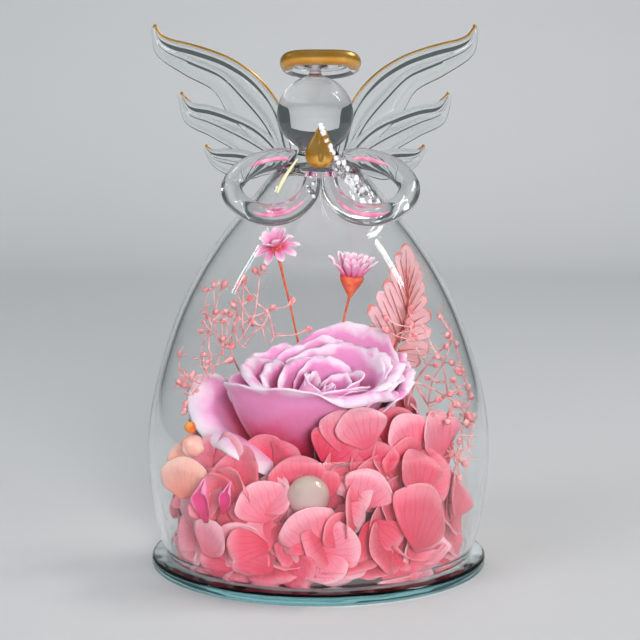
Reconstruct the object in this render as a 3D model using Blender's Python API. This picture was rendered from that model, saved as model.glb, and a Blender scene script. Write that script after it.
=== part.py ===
# Preserved rose arrangement under a lamp-worked glass angel whose bell skirt is the dome.
# Sizes are in millimetres and are scaled to metres when each mesh is finished.
# The origin is the centre of the base disc's underside, +Z up, the viewer's side is -Y.

import math

import bmesh
import bpy
from mathutils import Matrix, Vector

mm = 0.001
gap = 0.3                       # clearance between pieces that touch
weld = 0.0005                   # merging distance for poles and seams

base_radius = 45.7
base_height = 3.2
dome_wall = 2.0
# Outline of the glass skirt, radius at height, from the rim to the closed neck
dome_outline = [(41.7, 3.5), (42.6, 6.0), (44.6, 14.0), (46.1, 26.0), (45.9, 39.0), (43.2, 53.0),
                (38.3, 67.9), (32.7, 79.5), (26.0, 90.0), (18.6, 99.1), (12.6, 106.2), (8.2, 109.6),
                (5.6, 111.8)]
dome_inner_stations = 7         # how many stations the inner wall follows
dome_segments = 32

head_centre = Vector((-0.9, 0.0, 122.3))
head_radius = 10.2
stem_ends, stem_waist = 2.3, 1.5        # radii of the halo's stem

halo_centre = Vector((0.5, 0.0, 135.3))
halo_ring_radius = 8.8
halo_tube_radius = 1.9
halo_web = 1.0
halo_tilt = math.radians(16)

wing_centre_x = -1.0
wing_y = 9.0
feather_thickness = 2.6
feather_step = 0.23             # each lower feather lies this much further forward
feather_stations = 5
tip_thinning = 0.45             # how much of a feather's thickness is lost at its tip

arm_radius = 2.9
arm_end_radii = [2.5, 1.9]      # where the arms taper to the hands
arm_centre_x = 0.5
hands_centre = Vector((0.4, -14.6, 107.9))
hands_height = 12.6
hands_radius = 3.7

foam_radius = 30.0
foam_shoulder = 8.5             # height of the foam's upright side
foam_top_radius = 20.0
foam_height = 17.0
foam_low = base_height + gap

rose_origin = Vector((-3.6, 2.5, 32.4))
rose_tilt = math.radians(12.5)
petal_thickness = 0.55
petal_count = 11
petal_step = 0.72               # how far each petal lies outside the one before, in shells
first_shell = 1.2
petal_turn = math.radians(144)  # angle from one petal to the next
last_petal_angle = math.radians(-162)
heart_shift = Vector((7.2, -2.0, 0.0))
outer_shell = first_shell + petal_step * (petal_count - 1)
lip_curl = {10: 1.0, 9: 0.1, 8: 0.55, 7: 0.1, 6: 0.35}  # how far the outer petals' lips roll over
petal_reach = {10: 0.70}            # the outermost petal ends lower on its bowl than the others

pearl_centre = Vector((-2.5, -33.4, 26.1))
pearl_radius = 5.5


def clear_scene():
    for obj in list(bpy.data.objects):
        bpy.data.objects.remove(obj, do_unlink=True)


def make_material(name, colour, roughness, metallic=0.0, transmission=0.0):
    mat = bpy.data.materials.new(name)
    mat.use_nodes = True
    shader = mat.node_tree.nodes["Principled BSDF"]
    shader.inputs["Base Color"].default_value = (*colour, 1.0)
    shader.inputs["Roughness"].default_value = roughness
    shader.inputs["Metallic"].default_value = metallic
    shader.inputs["Transmission Weight"].default_value = transmission
    return mat


def add_object(name, bm, mat, smooth_angle=50):
    """Scales a finished mesh to metres and links it as one named object."""
    bmesh.ops.recalc_face_normals(bm, faces=bm.faces)
    bmesh.ops.scale(bm, vec=(mm, mm, mm), verts=bm.verts)
    mesh = bpy.data.meshes.new(name)
    bm.to_mesh(mesh)
    bm.free()
    mesh.materials.append(mat)
    mesh.shade_smooth()
    mesh.set_sharp_from_angle(angle=math.radians(smooth_angle))
    obj = bpy.data.objects.new(name, mesh)
    bpy.context.collection.objects.link(obj)
    return obj


def as_cutter(obj):
    obj.hide_render = True
    obj.display_type = "WIRE"
    return obj


def add_boolean(obj, other, operation):
    mod = obj.modifiers.new(operation.lower(), "BOOLEAN")
    mod.operation = operation
    mod.solver = "EXACT"
    mod.object = other


def add_thickness(obj, thickness):
    mod = obj.modifiers.new("thickness", "SOLIDIFY")
    mod.thickness = thickness * mm
    mod.offset = 0.0


def turned(profile, segments):
    """Spins a profile of (radius, height) that starts and ends on the axis."""
    bm = bmesh.new()
    verts = [bm.verts.new((radius, 0.0, height)) for radius, height in profile]
    edges = [bm.edges.new(pair) for pair in zip(verts, verts[1:])]
    bmesh.ops.spin(bm, geom=verts + edges, cent=(0, 0, 0), axis=(0, 0, 1), angle=math.tau,
                   steps=segments, use_merge=True)
    bmesh.ops.remove_doubles(bm, verts=bm.verts, dist=weld)
    return bm


def curve_point(points, t):
    """A point at t from 0 to 1 along a smooth curve through the points."""
    spans = len(points) - 1
    place = min(max(t, 0.0), 1.0) * spans
    i = min(int(place), spans - 1)
    f = place - i
    p0 = Vector(points[max(i - 1, 0)])
    p1 = Vector(points[i])
    p2 = Vector(points[i + 1])
    p3 = Vector(points[min(i + 2, spans)])
    return 0.5 * (2 * p1 + (p2 - p0) * f + (2 * p0 - 5 * p1 + 4 * p2 - p3) * f * f
                  + (3 * p1 - p0 - 3 * p2 + p3) * f ** 3)


def across(direction):
    """Two directions square to the given one and to each other."""
    side = Vector((0, 0, 1)) if abs(direction.z) < 0.9 else Vector((0, 1, 0))
    first = direction.cross(side).normalized()
    return first, direction.cross(first).normalized()


def tube(points, radii, sides, stations):
    """A closed round bar along a smooth curve, its radius running through the given radii."""
    bm = bmesh.new()
    rings = []
    for s in range(stations + 1):
        t = s / stations
        place = curve_point(points, t)
        ahead = (curve_point(points, t + 0.01) - curve_point(points, t - 0.01)).normalized()
        radius = curve_point([(r, 0.0, 0.0) for r in radii], t).x
        first, second = across(ahead)
        ring = []
        for k in range(sides):
            angle = math.tau * k / sides
            ring.append(bm.verts.new(place + radius * (math.cos(angle) * first
                                                       + math.sin(angle) * second)))
        rings.append(ring)
    for low, high in zip(rings, rings[1:]):
        for k in range(sides):
            bm.faces.new((low[k], low[(k + 1) % sides], high[(k + 1) % sides], high[k]))
    bm.faces.new(list(reversed(rings[0])))
    bm.faces.new(rings[-1])
    return bm


def inner_outline():
    """The dome's inside: the outline moved inwards by the wall, from the rim up."""
    points = [Vector((radius, 0.0, height)) for radius, height in dome_outline]
    inside = []
    for i in range(dome_inner_stations + 1):
        t = 0.86 * i / dome_inner_stations
        place = curve_point(points, t)
        ahead = (curve_point(points, t + 0.01) - curve_point(points, max(t - 0.01, 0))).normalized()
        inside.append((place.x - dome_wall * ahead.z, place.z + dome_wall * ahead.x))
    return inside


def build_base(glass):
    edge = 1.2
    profile = [(0, 0), (base_radius - edge, 0), (base_radius, edge), (base_radius, base_height - edge),
               (base_radius - edge, base_height), (0, base_height)]
    return add_object("base_disc", turned(profile, 32), glass)


def build_dome(glass):
    inside = inner_outline()
    bottom_inside = (inside[0][0], dome_outline[0][1])
    top_inside = inside[-1][1] + 1.0
    profile = [(0, top_inside)] + list(reversed(inside[1:])) + [bottom_inside]
    profile += dome_outline + [(0, dome_outline[-1][1])]
    return add_object("dome", turned(profile, dome_segments), glass)


def dome_clearance(glass):
    """The skirt's outside grown by the clearance, which trims whatever is fused to it."""
    grown = [(radius + gap, height) for radius, height in dome_outline]
    profile = [(0, 0)] + [(grown[0][0], 0)] + grown + [(0, grown[-1][1] + gap)]
    return as_cutter(add_object("dome_clearance", turned(profile, dome_segments), glass))


def build_head(glass):
    bm = bmesh.new()
    bmesh.ops.create_uvsphere(bm, u_segments=14, v_segments=8, radius=head_radius)
    bmesh.ops.translate(bm, vec=head_centre, verts=bm.verts)
    return add_object("head", bm, glass)


def build_halo(gold, glass):
    """A web disc with a round rim, leaning back so that its front edge is raised."""
    start = math.pi - math.asin(halo_web / 2 / halo_tube_radius)
    arc = [start * (2 * k / 6 - 1) for k in range(7)]
    rim = [(halo_ring_radius + halo_tube_radius * math.cos(a), halo_tube_radius * math.sin(a))
           for a in arc]
    bm = turned([(0, -halo_web / 2)] + rim + [(0, halo_web / 2)], 18)
    bmesh.ops.transform(bm, matrix=Matrix.Translation(halo_centre)
                        @ Matrix.Rotation(-halo_tilt, 4, "X"), verts=bm.verts)
    halo = add_object("halo", bm, gold)

    low = head_centre.z + head_radius + gap
    high = halo_centre.z - halo_web / 2 - gap - 0.1
    middle = (low + high) / 2
    profile = [(0, low), (stem_ends, low), (stem_waist, middle), (stem_ends, high), (0, high)]
    bm = turned(profile, 12)
    for vert in bm.verts:
        if vert.co.z > middle + gap:
            # the top leans with the halo
            vert.co.z -= vert.co.y * math.tan(halo_tilt)
    return halo, add_object("halo_stem", bm, glass)


def feather(spine, half_widths, root_thickness):
    """One blade: thick upper edge, thin web, raised rib along the spine, thin lower edge."""
    section = [(1.0, 0.40), (0.60, 0.24), (0.02, 0.48), (-0.22, 0.22), (-1.0, 0.12)]
    bm = bmesh.new()
    rings = []
    for s in range(feather_stations + 1):
        t = s / feather_stations
        place = curve_point(spine, t)
        ahead = (curve_point(spine, t + 0.01) - curve_point(spine, t - 0.01)).normalized()
        up = Vector((ahead.z, 0, -ahead.x))
        if up.z < 0:
            up.negate()
        width = curve_point([(w, 0, 0) for w in half_widths], t).x
        thick = root_thickness * (1 - tip_thinning * t)
        front = [place + up * width * a - Vector((0, thick * b, 0)) for a, b in section]
        back = [place + up * width * a + Vector((0, thick * b, 0)) for a, b in reversed(section)]
        rings.append([bm.verts.new(co) for co in front + back])
    for low, high in zip(rings, rings[1:]):
        count = len(low)
        for k in range(count):
            bm.faces.new((low[k], low[(k + 1) % count], high[(k + 1) % count], high[k]))
    bm.faces.new(list(reversed(rings[0])))
    bm.faces.new(rings[-1])
    return bm


# Each feather of the left wing: its spine from the shoulder to the tip, and its half widths along it.
# Places are (x, z) seen from the front, measured from the wings' middle line.
feathers = {
    "long": ([(-9.5, 109.0), (-14.5, 121.5), (-22.0, 130.5), (-33.5, 136.5), (-43.8, 144.3)],
             [2.0, 5.0, 5.6, 4.2, 1.2]),
    "middle": ([(-10.2, 108.5), (-16.5, 116.0), (-24.5, 119.8), (-31.5, 122.0), (-36.8, 126.4)],
               [2.0, 4.6, 5.0, 4.3, 1.2]),
    "short": ([(-11.0, 107.0), (-16.0, 109.6), (-21.5, 110.0), (-26.5, 110.2), (-30.2, 112.2)],
              [1.6, 3.4, 3.9, 3.2, 0.9]),
}


def build_wing(name, side, glass, clearance):
    """Side is 1 for the wing at the viewer's left and -1 for the mirrored one."""
    blades = []
    for layer, (key, (spine, half_widths)) in enumerate(feathers.items()):
        depth = wing_y - feather_step * layer
        path = [Vector((wing_centre_x + side * x, depth, z)) for x, z in spine]
        bm = feather(path, half_widths, feather_thickness)
        blades.append(add_object(f"{name}_{key}", bm, glass))
    wing = blades[0]
    wing.name = name
    for other in blades[1:]:
        add_boolean(wing, as_cutter(other), "UNION")
    add_boolean(wing, clearance, "DIFFERENCE")
    return wing


def build_arm(name, side, glass, clearance):
    """A rod from the shoulder, out and forward in an open loop, rising to the hands' foot."""
    path = [(-6.5, 0.5, 109.8), (-12.0, 0.5, 110.3), (-19.5, -2.5, 108.0), (-23.4, -8.0, 103.6),
            (-21.0, -14.5, 99.6), (-15.0, -20.0, 97.6), (-8.2, -21.8, 98.6), (-3.2, -19.0, 102.6),
            (-2.4, -15.6, 105.6)]
    points = [Vector((arm_centre_x + side * x, y, z)) for x, y, z in path]
    radii = [arm_radius] * 6 + arm_end_radii
    arm = add_object(name, tube(points, radii, 8, 14), glass)
    add_boolean(arm, clearance, "DIFFERENCE")
    return arm


def build_hands(gold):
    """Palms pressed together: a teardrop, flatter from side to side, leaning to the head."""
    heights = [0.0, 0.12, 0.32, 0.58, 0.82, 1.0]
    widths = [0.45, 0.86, 1.0, 0.72, 0.34, 0.0]
    profile = [(0, 0)] + [(hands_radius * w, hands_height * h) for h, w in zip(heights, widths)]
    bm = turned(profile, 12)
    bmesh.ops.scale(bm, vec=(1.0, 0.66, 1.0), verts=bm.verts)
    bmesh.ops.rotate(bm, cent=(0, 0, 0), matrix=Matrix.Rotation(math.radians(-4), 3, "X"),
                     verts=bm.verts)
    bmesh.ops.translate(bm, vec=hands_centre, verts=bm.verts)
    return add_object("praying_hands", bm, gold)


def build_foam(foam):
    edge = 1.5
    profile = [(0, foam_low), (foam_radius - edge, foam_low), (foam_radius, foam_low + edge),
               (foam_radius, foam_low + foam_shoulder), (foam_top_radius, foam_low + foam_height),
               (0, foam_low + foam_height)]
    return add_object("flower_foam", turned(profile, 16), foam)


def rose_matrix():
    """The bloom's own frame: its axis leans toward the viewer."""
    return Matrix.Translation(rose_origin) @ Matrix.Rotation(rose_tilt, 4, "X")


def shell_point(shell, t, angle, curl=0.0, swell=0.0):
    """A point of the nested bowls that the petals follow, t from the base to the lip."""
    base = Vector((1.5 + 0.62 * shell, -0.62 * shell))
    belly = Vector((5.1 + 2.05 * shell, 4.0 - 0.50 * shell))
    throat = Vector((5.4 + 2.45 * shell + 1.5 * curl, 13.0 + 1.25 * shell + 5.0 * curl))
    lip = Vector((1.6 + 3.36 * shell + 2.8 * curl, 19.0 + 0.95 * shell - 8.0 * curl))
    s = 1 - t
    place = s ** 3 * base + 3 * s * s * t * belly + 3 * s * t * t * throat + t ** 3 * lip
    radius = place.x + swell
    shift = heart_shift * (1 - min(shell / outer_shell, 1.0)) * max(place.y, 0.0) / 19.0
    return Vector((radius * math.cos(angle), radius * math.sin(angle), place.y)) + shift


def build_petal(name, index, pink):
    """One petal: a patch of its bowl with a rounded, slightly waved lip."""
    columns, rows = 6, 4
    shell = first_shell + petal_step * index
    turn = last_petal_angle - petal_turn * (petal_count - 1 - index)
    half_angle = math.radians(76 - 1.1 * index) * (0.84 if index == petal_count - 1 else 1.0)
    bm = bmesh.new()
    bmesh.ops.create_grid(bm, x_segments=columns, y_segments=rows, size=1.0)
    for vert in bm.verts:
        u = vert.co.x
        t = (vert.co.y + 1) / 2 * (1 - 0.13 * u * u) * petal_reach.get(index, 1.0)
        spread = half_angle * (0.52 + 0.48 * math.sin(math.pi * min(t, 0.8) / 1.45))
        wave = 0.45 * math.sin(3.4 * u + 1.7 * index) * t * t
        curl = lip_curl.get(index, 0.0) * (1 - 0.85 * u * u)
        vert.co = shell_point(shell - 0.18 * u, t, turn + u * spread, curl, wave)
    bmesh.ops.transform(bm, matrix=rose_matrix(), verts=bm.verts)
    petal = add_object(name, bm, pink)
    add_thickness(petal, petal_thickness)
    return petal


def build_heart(pink):
    """The rolled centre: a small bud with a wound top."""
    heights = [0.6, 4.0, 9.0, 14.0, 18.0, 19.6]
    radii = [1.3, 2.7, 3.5, 3.4, 2.5, 1.2]
    profile = [(0, heights[0])] + list(zip(radii, heights)) + [(0, 18.4)]
    bm = turned(profile, 12)
    for vert in bm.verts:
        angle = math.atan2(vert.co.y, vert.co.x)
        rise = vert.co.z / 19.0
        vert.co.x *= 1 + 0.10 * rise * math.cos(angle * 3)
        vert.co += heart_shift * max(vert.co.z, 0.0) / 19.0
    bmesh.ops.transform(bm, matrix=rose_matrix(), verts=bm.verts)
    return add_object("rose_heart", bm, pink)


def build_calyx(stem):
    """The cup that carries the petals, narrowing to a short stem over the foam."""
    stem_low, stem_high, stem_radius = -10.6, -8.2, 2.2
    top = -0.3
    flare = 1.5 + 0.62 * outer_shell    # just inside the outermost petal's foot
    profile = [(0, stem_low), (stem_radius, stem_low), (stem_radius, stem_high),
               (flare - 1.0, -0.6 - flare), (flare, 0.6 - flare), (1.0, top), (0, top)]
    bm = turned(profile, 14)
    bmesh.ops.transform(bm, matrix=rose_matrix(), verts=bm.verts)
    return add_object("rose_calyx", bm, stem)


def build_pearl(pearl):
    bm = bmesh.new()
    bmesh.ops.create_uvsphere(bm, u_segments=14, v_segments=8, radius=pearl_radius)
    bmesh.ops.translate(bm, vec=pearl_centre, verts=bm.verts)
    return add_object("pearl", bm, pearl)


# Florets: angle round the dome from the front, to the viewer's right; height of the centre; distance
# from the axis; turn of the cross; length of a petal; lean of the face upwards, angles in degrees
florets = [
    (1, 12.2, 39.4, 25, 13.2, -4),
    (33, 12.6, 36.4, 8, 12.6, 3),
    (46, 26.2, 33.6, 15, 13.4, 4),
    (22, 27.0, 27.2, 45, 12.4, 0),
    (-27, 28.0, 27.2, 45, 12.4, 0),
    (-33, 13.6, 36.4, 12, 12.6, 3),
    (-62, 13.4, 38.2, 40, 12.4, 3),
    (-58, 32.0, 34.4, 20, 12.4, 5),
    (74, 35.0, 31.2, 45, 13.2, 5),
    (76, 13.4, 38.2, 30, 12.6, 3),
    (116, 13.4, 36.8, 15, 12.6, 3),
    (156, 13.4, 38.2, 40, 12.8, 3),
    (-162, 13.4, 36.8, 10, 12.8, 3),
    (-110, 13.4, 37.6, 35, 12.8, 3),
    (-104, 32.0, 33.2, 15, 12.4, 5),
    (124, 32.0, 33.2, 25, 12.6, 5),
    (178, 32.0, 33.2, 35, 12.8, 5),
]
# Half width of a floret's petal at each row, per length; those behind the bloom have fewer rows
front_floret_rows = [(0.33, 0.30), (0.67, 0.48), (1.0, 0.27)]
back_floret_rows = [(0.50, 0.43), (1.0, 0.30)]
floret_thickness = 0.5


def floret_room(height, angle, length):
    """How much of its length a petal keeps, so that its lower edge stays over the base disc."""
    fall = length * (0.9 * max(-math.sin(angle), 0.0) + 0.42 * abs(math.cos(angle)))
    return min(1.0, (height - base_height - 1.7) / fall) if fall > 0.1 else 1.0


def build_floret(name, place, coral):
    """Four broad petals in a cross round a small centre, on a stalk that runs into the foam."""
    angle, height, distance, turn, length, lean = place
    columns = 2
    rows = front_floret_rows if abs(angle) < 100 else back_floret_rows
    centre = 1.3
    bm = bmesh.new()
    corners = [bm.verts.new((centre * x, centre * y, 0)) for x, y in ((1, -1), (1, 1), (-1, 1), (-1, -1))]
    bm.faces.new(corners)
    for quarter in range(4):
        way = quarter * math.pi / 2
        spin = Matrix.Rotation(way, 3, "Z")
        size = length * floret_room(height, way + math.radians(turn), length)
        lines = [[corners[quarter], corners[(quarter + 1) % 4]]]
        for t, width in rows:
            line = []
            for c in range(columns + 1):
                u = 2 * c / columns - 1
                along = centre + (size - centre) * t - 0.13 * size * u * u * t
                lift = 0.45 * t * t * (-1) ** quarter + 0.35 * u * u * t
                line.append(bm.verts.new(spin @ Vector((along, width * size * u, lift))))
            lines.append(line)
        root, first = lines[0], lines[1]
        bm.faces.new((root[0], first[0], first[1]))
        bm.faces.new((root[0], first[1], root[1]))
        bm.faces.new((root[1], first[1], first[2]))
        for low, high in zip(lines[1:], lines[2:]):
            for c in range(columns):
                bm.faces.new((low[c], high[c], high[c + 1], low[c + 1]))
    bmesh.ops.rotate(bm, cent=(0, 0, 0), matrix=Matrix.Rotation(math.radians(turn), 3, "Z"),
                     verts=bm.verts)
    stand = Matrix.Rotation(math.radians(90 - lean), 4, "X")
    bmesh.ops.transform(bm, matrix=stand, verts=bm.verts)
    for vert in bm.verts:
        # the face bends round the dome's inside
        bend = vert.co.x / distance
        out = distance - vert.co.y
        vert.co = Vector((out * math.sin(bend), -out * math.cos(bend), vert.co.z))
    bmesh.ops.solidify(bm, geom=bm.faces, thickness=floret_thickness)
    bmesh.ops.recalc_face_normals(bm, faces=bm.faces)
    draw_stalk(bm, distance, height)
    bmesh.ops.transform(bm, matrix=Matrix.Translation((0, 0, height))
                        @ Matrix.Rotation(math.radians(angle), 4, "Z"), verts=bm.verts)
    return add_object(name, bm, coral, 60)


def draw_stalk(bm, distance, height):
    """Draws the middle of the floret's back out to the foam's side, or down to its shoulder."""
    back = min((face for face in bm.faces if face.normal.y > 0.5),
               key=lambda face: (face.calc_center_median() - Vector((0, -distance, 0))).length)
    stalk_end = bmesh.ops.extrude_discrete_faces(bm, faces=[back])["faces"][0]
    shoulder = foam_low + foam_shoulder
    if height < shoulder + 5:
        end = Vector((0, -foam_radius - 2 * gap, min(height, shoulder - 1) - height))
    else:
        # the middle of the foam's slope, and a little off it
        middle_radius = (foam_radius + foam_top_radius) / 2
        middle_height = foam_low + (foam_shoulder + foam_height) / 2
        end = Vector((0, -middle_radius - 2 * gap, middle_height + 2 * gap - height))
    centre = stalk_end.calc_center_median()
    for vert in stalk_end.verts:
        vert.co = end + (vert.co - centre) * 0.5


def build_fern(fern):
    """A lobed leaf standing behind the bloom, its lobes stepping down both sides of the midrib."""
    midrib = [(20.8, 21.0, 51.0), (23.4, 18.8, 62.0), (23.8, 13.0, 71.5), (22.2, 8.0, 79.6),
              (21.6, 4.2, 85.4)]
    left = [2.2, 5.0, 6.4, 5.2, 3.4]
    right = [9.2, 7.4, 4.0, 2.4, 1.4]
    bm = bmesh.new()
    lobes = len(left)
    rows = []
    for i in range(lobes):
        for f, reach in ((0.10, 0.42), (0.72, 1.0)):
            t = (i + f) / lobes
            spine = curve_point(midrib, t)
            ahead = (curve_point(midrib, t + 0.02) - curve_point(midrib, t - 0.02)).normalized()
            sideways = ahead.cross(Vector((0, 1, 0))).normalized()
            lift = Vector((0, -0.25 * reach, 0))
            west = spine - sideways * left[i] * reach + ahead * 1.5 * reach + lift * left[i] * 0.3
            east = spine + sideways * right[i] * reach + ahead * 1.5 * reach + lift * right[i] * 0.3
            rows.append([bm.verts.new(west), bm.verts.new(spine), bm.verts.new(east)])
    tip = bm.verts.new(midrib[-1])
    foot = bm.verts.new(midrib[0])
    for low, high in zip(rows, rows[1:]):
        bm.faces.new((low[0], low[1], high[1], high[0]))
        bm.faces.new((low[1], low[2], high[2], high[1]))
    bm.faces.new((rows[-1][0], rows[-1][1], tip))
    bm.faces.new((rows[-1][1], rows[-1][2], tip))
    bm.faces.new((foot, rows[0][1], rows[0][0]))
    bm.faces.new((foot, rows[0][2], rows[0][1]))
    leaf = add_object("fern_leaf", bm, fern)
    add_thickness(leaf, 0.6)
    stalk = tube([(15.4, 14.6, 21.0), (20.0, 20.0, 35.0), (21.2, 22.0, 45.0), (20.8, 21.0, 52.0)],
                 [0.6, 0.6, 0.5, 0.45], 5, 6)
    add_boolean(leaf, as_cutter(add_object("fern_stalk", stalk, fern)), "UNION")
    return leaf


def build_star_flower(name, centre, lean, stem_path, size, pink):
    """A dried daisy head: pointed rays round a cup, drawn out below into its thin stem."""
    rays = 8
    profile = [(0, 0.4), (size * 0.32, 1.1), (size, 2.4), (size * 0.92, 1.7), (1.6, -2.6), (0.6, -4.4),
               (0, -4.4)]
    bm = turned(profile, rays * 2)
    for vert in bm.verts:
        step = round(math.atan2(vert.co.y, vert.co.x) / math.pi * rays)
        if step % 2 and Vector((vert.co.x, vert.co.y)).length > size * 0.8:
            vert.co.x *= 0.62
            vert.co.y *= 0.62
            vert.co.z -= 0.5
    rotation = Matrix.Rotation(math.radians(lean[1]), 4, "Y") @ Matrix.Rotation(
        math.radians(lean[0]), 4, "X")
    place = Matrix.Translation(centre) @ rotation
    bmesh.ops.transform(bm, matrix=place, verts=bm.verts)
    flower = add_object(name, bm, pink)
    neck = place @ Vector((0, 0, -3.4))
    stem = tube(stem_path + [neck], [0.5, 0.5, 0.45, 0.45], 5, 7)
    add_boolean(flower, as_cutter(add_object(name + "_stem", stem, pink)), "UNION")
    return flower


def face_toward(faces, direction):
    return max(faces, key=lambda face: face.normal.dot(direction))


def place_face(face, centre, direction, half):
    """Squares a drawn-out face to its new direction, with as little twist as it can."""
    old = face.calc_center_median()
    first, second = across(direction)
    corners = [loop.vert for loop in face.loops]
    arm = corners[0].co - old
    start = math.atan2(arm.dot(second), arm.dot(first))
    reach = half * math.sqrt(2)
    for k, vert in enumerate(corners):
        angle = start + math.tau * k / len(corners)
        vert.co = centre + reach * (math.cos(angle) * first + math.sin(angle) * second)
    face.normal_update()


def draw_out(bm, face, centre, direction, half):
    """Draws a face out to a new place and returns the new end face and the four side faces."""
    result = bmesh.ops.extrude_discrete_faces(bm, faces=[face])["faces"][0]
    place_face(result, centre, direction, half)
    sides = [f for edge in result.edges for f in edge.link_faces if f is not result]
    for side in sides:
        side.normal_update()
    return result, sides


def build_spray(name, stem_path, buds, pink):
    """One fork of gypsophila: a twig that steps from bud to bud, each bud on its own side twig."""
    thin, bud_half = 0.42, 1.15
    bm = bmesh.new()
    path = [Vector(p) for p in stem_path]
    ahead = (path[1] - path[0]).normalized()
    first, second = across(ahead)
    foot = [bm.verts.new(path[0] + thin * (a * first + b * second))
            for a, b in ((1, 1), (-1, 1), (-1, -1), (1, -1))]
    bottom = bm.faces.new(foot)
    bottom.normal_update()
    if bottom.normal.dot(ahead) < 0:
        bottom.normal_flip()
    end = bottom
    sides_at = []
    for low, high in zip(path, path[1:]):
        ahead = (high - low).normalized()
        end, _ = draw_out(bm, end, high - 1.2 * ahead, ahead, thin)
        end, sides = draw_out(bm, end, high, ahead, thin)
        sides_at.append((high - 0.6 * ahead, list(sides)))
    bm.faces.new(list(reversed(foot)))
    ends = [(end, buds[0])]
    for bud in buds[1:]:
        bud = Vector(bud)
        options = [(joint, sides) for joint, sides in sides_at if sides]
        joint, sides = min(options, key=lambda item: (bud - item[0]).length
                           + (3.0 if bud.z < item[0].z else 0.0))
        face = face_toward(sides, (bud - joint).normalized())
        sides.remove(face)
        ends.append((face, bud))
    for face, bud in ends:
        bud = Vector(bud)
        ahead = (bud - face.calc_center_median()).normalized()
        tip, _ = draw_out(bm, face, bud - 1.3 * ahead, ahead, thin * 0.8)
        tip, _ = draw_out(bm, tip, bud, ahead, bud_half * 0.8)
        draw_out(bm, tip, bud + 1.3 * ahead, ahead, 0.35)
    return add_object(name, bm, pink, 35)


# Each fork of the sprays: the twig's path from the foam, then its buds, the first at the twig's end
sprays = {
    "gypsophila_left_tall": (
        [(-11.0, 18.0, 20.8), (-17.5, 26.0, 38.0), (-24.8, 24.4, 54.0), (-22.6, 16.0, 67.0)],
        [(-15.4, 12.0, 79.2), (-20.9, 12.0, 76.2), (-19.6, 17.5, 69.9), (-26.5, 13.0, 73.6),
         (-18.6, 24.0, 62.0)]),
    "gypsophila_left_middle": (
        [(-17.0, 15.4, 18.8), (-24.0, 22.6, 36.0), (-33.0, 18.6, 52.0), (-32.2, 13.4, 63.0)],
        [(-29.6, 7.6, 72.4), (-27.6, 4.6, 67.7), (-35.0, 7.4, 60.6), (-28.4, 16.4, 69.4)]),
    "gypsophila_left_low": (
        [(-21.0, 11.5, 18.4), (-26.5, 19.5, 34.0), (-35.4, 13.2, 48.0)],
        [(-38.0, 8.0, 55.6), (-39.8, 5.0, 49.4), (-39.0, 3.0, 43.6), (-35.6, 12.6, 57.0)]),
    "gypsophila_right_tall": (
        [(19.4, 15.0, 17.8), (24.6, 16.0, 32.0), (26.6, 14.6, 46.0), (33.6, 8.6, 57.0)],
        [(33.4, 6.0, 65.4), (35.8, 3.0, 60.6), (31.4, 1.0, 55.8), (38.6, 6.4, 52.0)]),
    "gypsophila_right_middle": (
        [(25.4, 4.2, 17.2), (32.2, 5.3, 32.0), (36.6, 4.6, 43.0)],
        [(36.0, -1.4, 53.6), (40.4, 0.0, 47.6), (35.0, -5.0, 49.6), (31.6, -3.0, 50.4)]),
    "gypsophila_right_low": (
        [(30.6, 1.0, 10.0), (34.9, -1.4, 21.0), (38.6, -5.4, 31.0)],
        [(37.4, -10.4, 42.6), (41.0, -5.2, 40.6), (38.0, -14.0, 36.0), (34.0, -14.0, 41.6)]),
}


def main():
    clear_scene()
    glass = make_material("clear_glass", (0.95, 0.98, 0.98), 0.02, transmission=1.0)
    gold = make_material("gold_lustre", (0.83, 0.47, 0.08), 0.16, metallic=1.0)
    foam = make_material("foam", (0.36, 0.24, 0.16), 0.9)
    rose = make_material("rose_petal", (0.88, 0.36, 0.62), 0.55)
    stem = make_material("stem", (0.42, 0.16, 0.12), 0.6)
    pearl = make_material("pearl", (0.93, 0.90, 0.80), 0.18)
    coral = make_material("hydrangea_petal", (0.93, 0.40, 0.46), 0.55)
    fern = make_material("fern", (0.93, 0.56, 0.48), 0.6)
    star = make_material("star_flower", (0.88, 0.30, 0.46), 0.55)
    twig = make_material("gypsophila", (0.85, 0.40, 0.42), 0.6)

    build_base(glass)
    build_dome(glass)
    clearance = dome_clearance(glass)
    build_head(glass)
    build_halo(gold, glass)
    build_wing("left_wing", 1, glass, clearance)
    build_wing("right_wing", -1, glass, clearance)
    build_arm("left_arm", 1, glass, clearance)
    build_arm("right_arm", -1, glass, clearance)
    build_hands(gold)

    build_foam(foam)
    build_calyx(stem)
    build_heart(rose)
    for index in range(petal_count):
        build_petal(f"rose_petal_{index + 1}", index, rose)
    build_pearl(pearl)
    for number, place in enumerate(florets, 1):
        build_floret(f"hydrangea_floret_{number}", place, coral)
    build_fern(fern)
    build_star_flower("left_star_flower", Vector((-11.8, 12.0, 86.0)), (30, -10),
                      [Vector((-4.0, 19.0, 21.2)), Vector((-4.2, 27.0, 36.0)), Vector((-5.0, 28.4, 50.0)),
                       Vector((-7.4, 25.0, 64.0))], 6.4, star)
    build_star_flower("right_star_flower", Vector((9.2, 12.0, 79.0)), (14, 8),
                      [Vector((4.0, 19.0, 21.2)), Vector((5.0, 27.0, 36.0)), Vector((6.0, 28.4, 50.0)),
                       Vector((6.6, 25.0, 62.0))], 6.2, star)
    for name, (stem_path, buds) in sprays.items():
        build_spray(name, stem_path, buds, twig)


main()
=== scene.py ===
# Preserved rose under a blown glass angel: the looks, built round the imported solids.
# Lengths are in millimetres and become metres when a piece is finished.

import math
import random

import bmesh
import bpy
from mathutils import Matrix, Vector, noise


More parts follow.
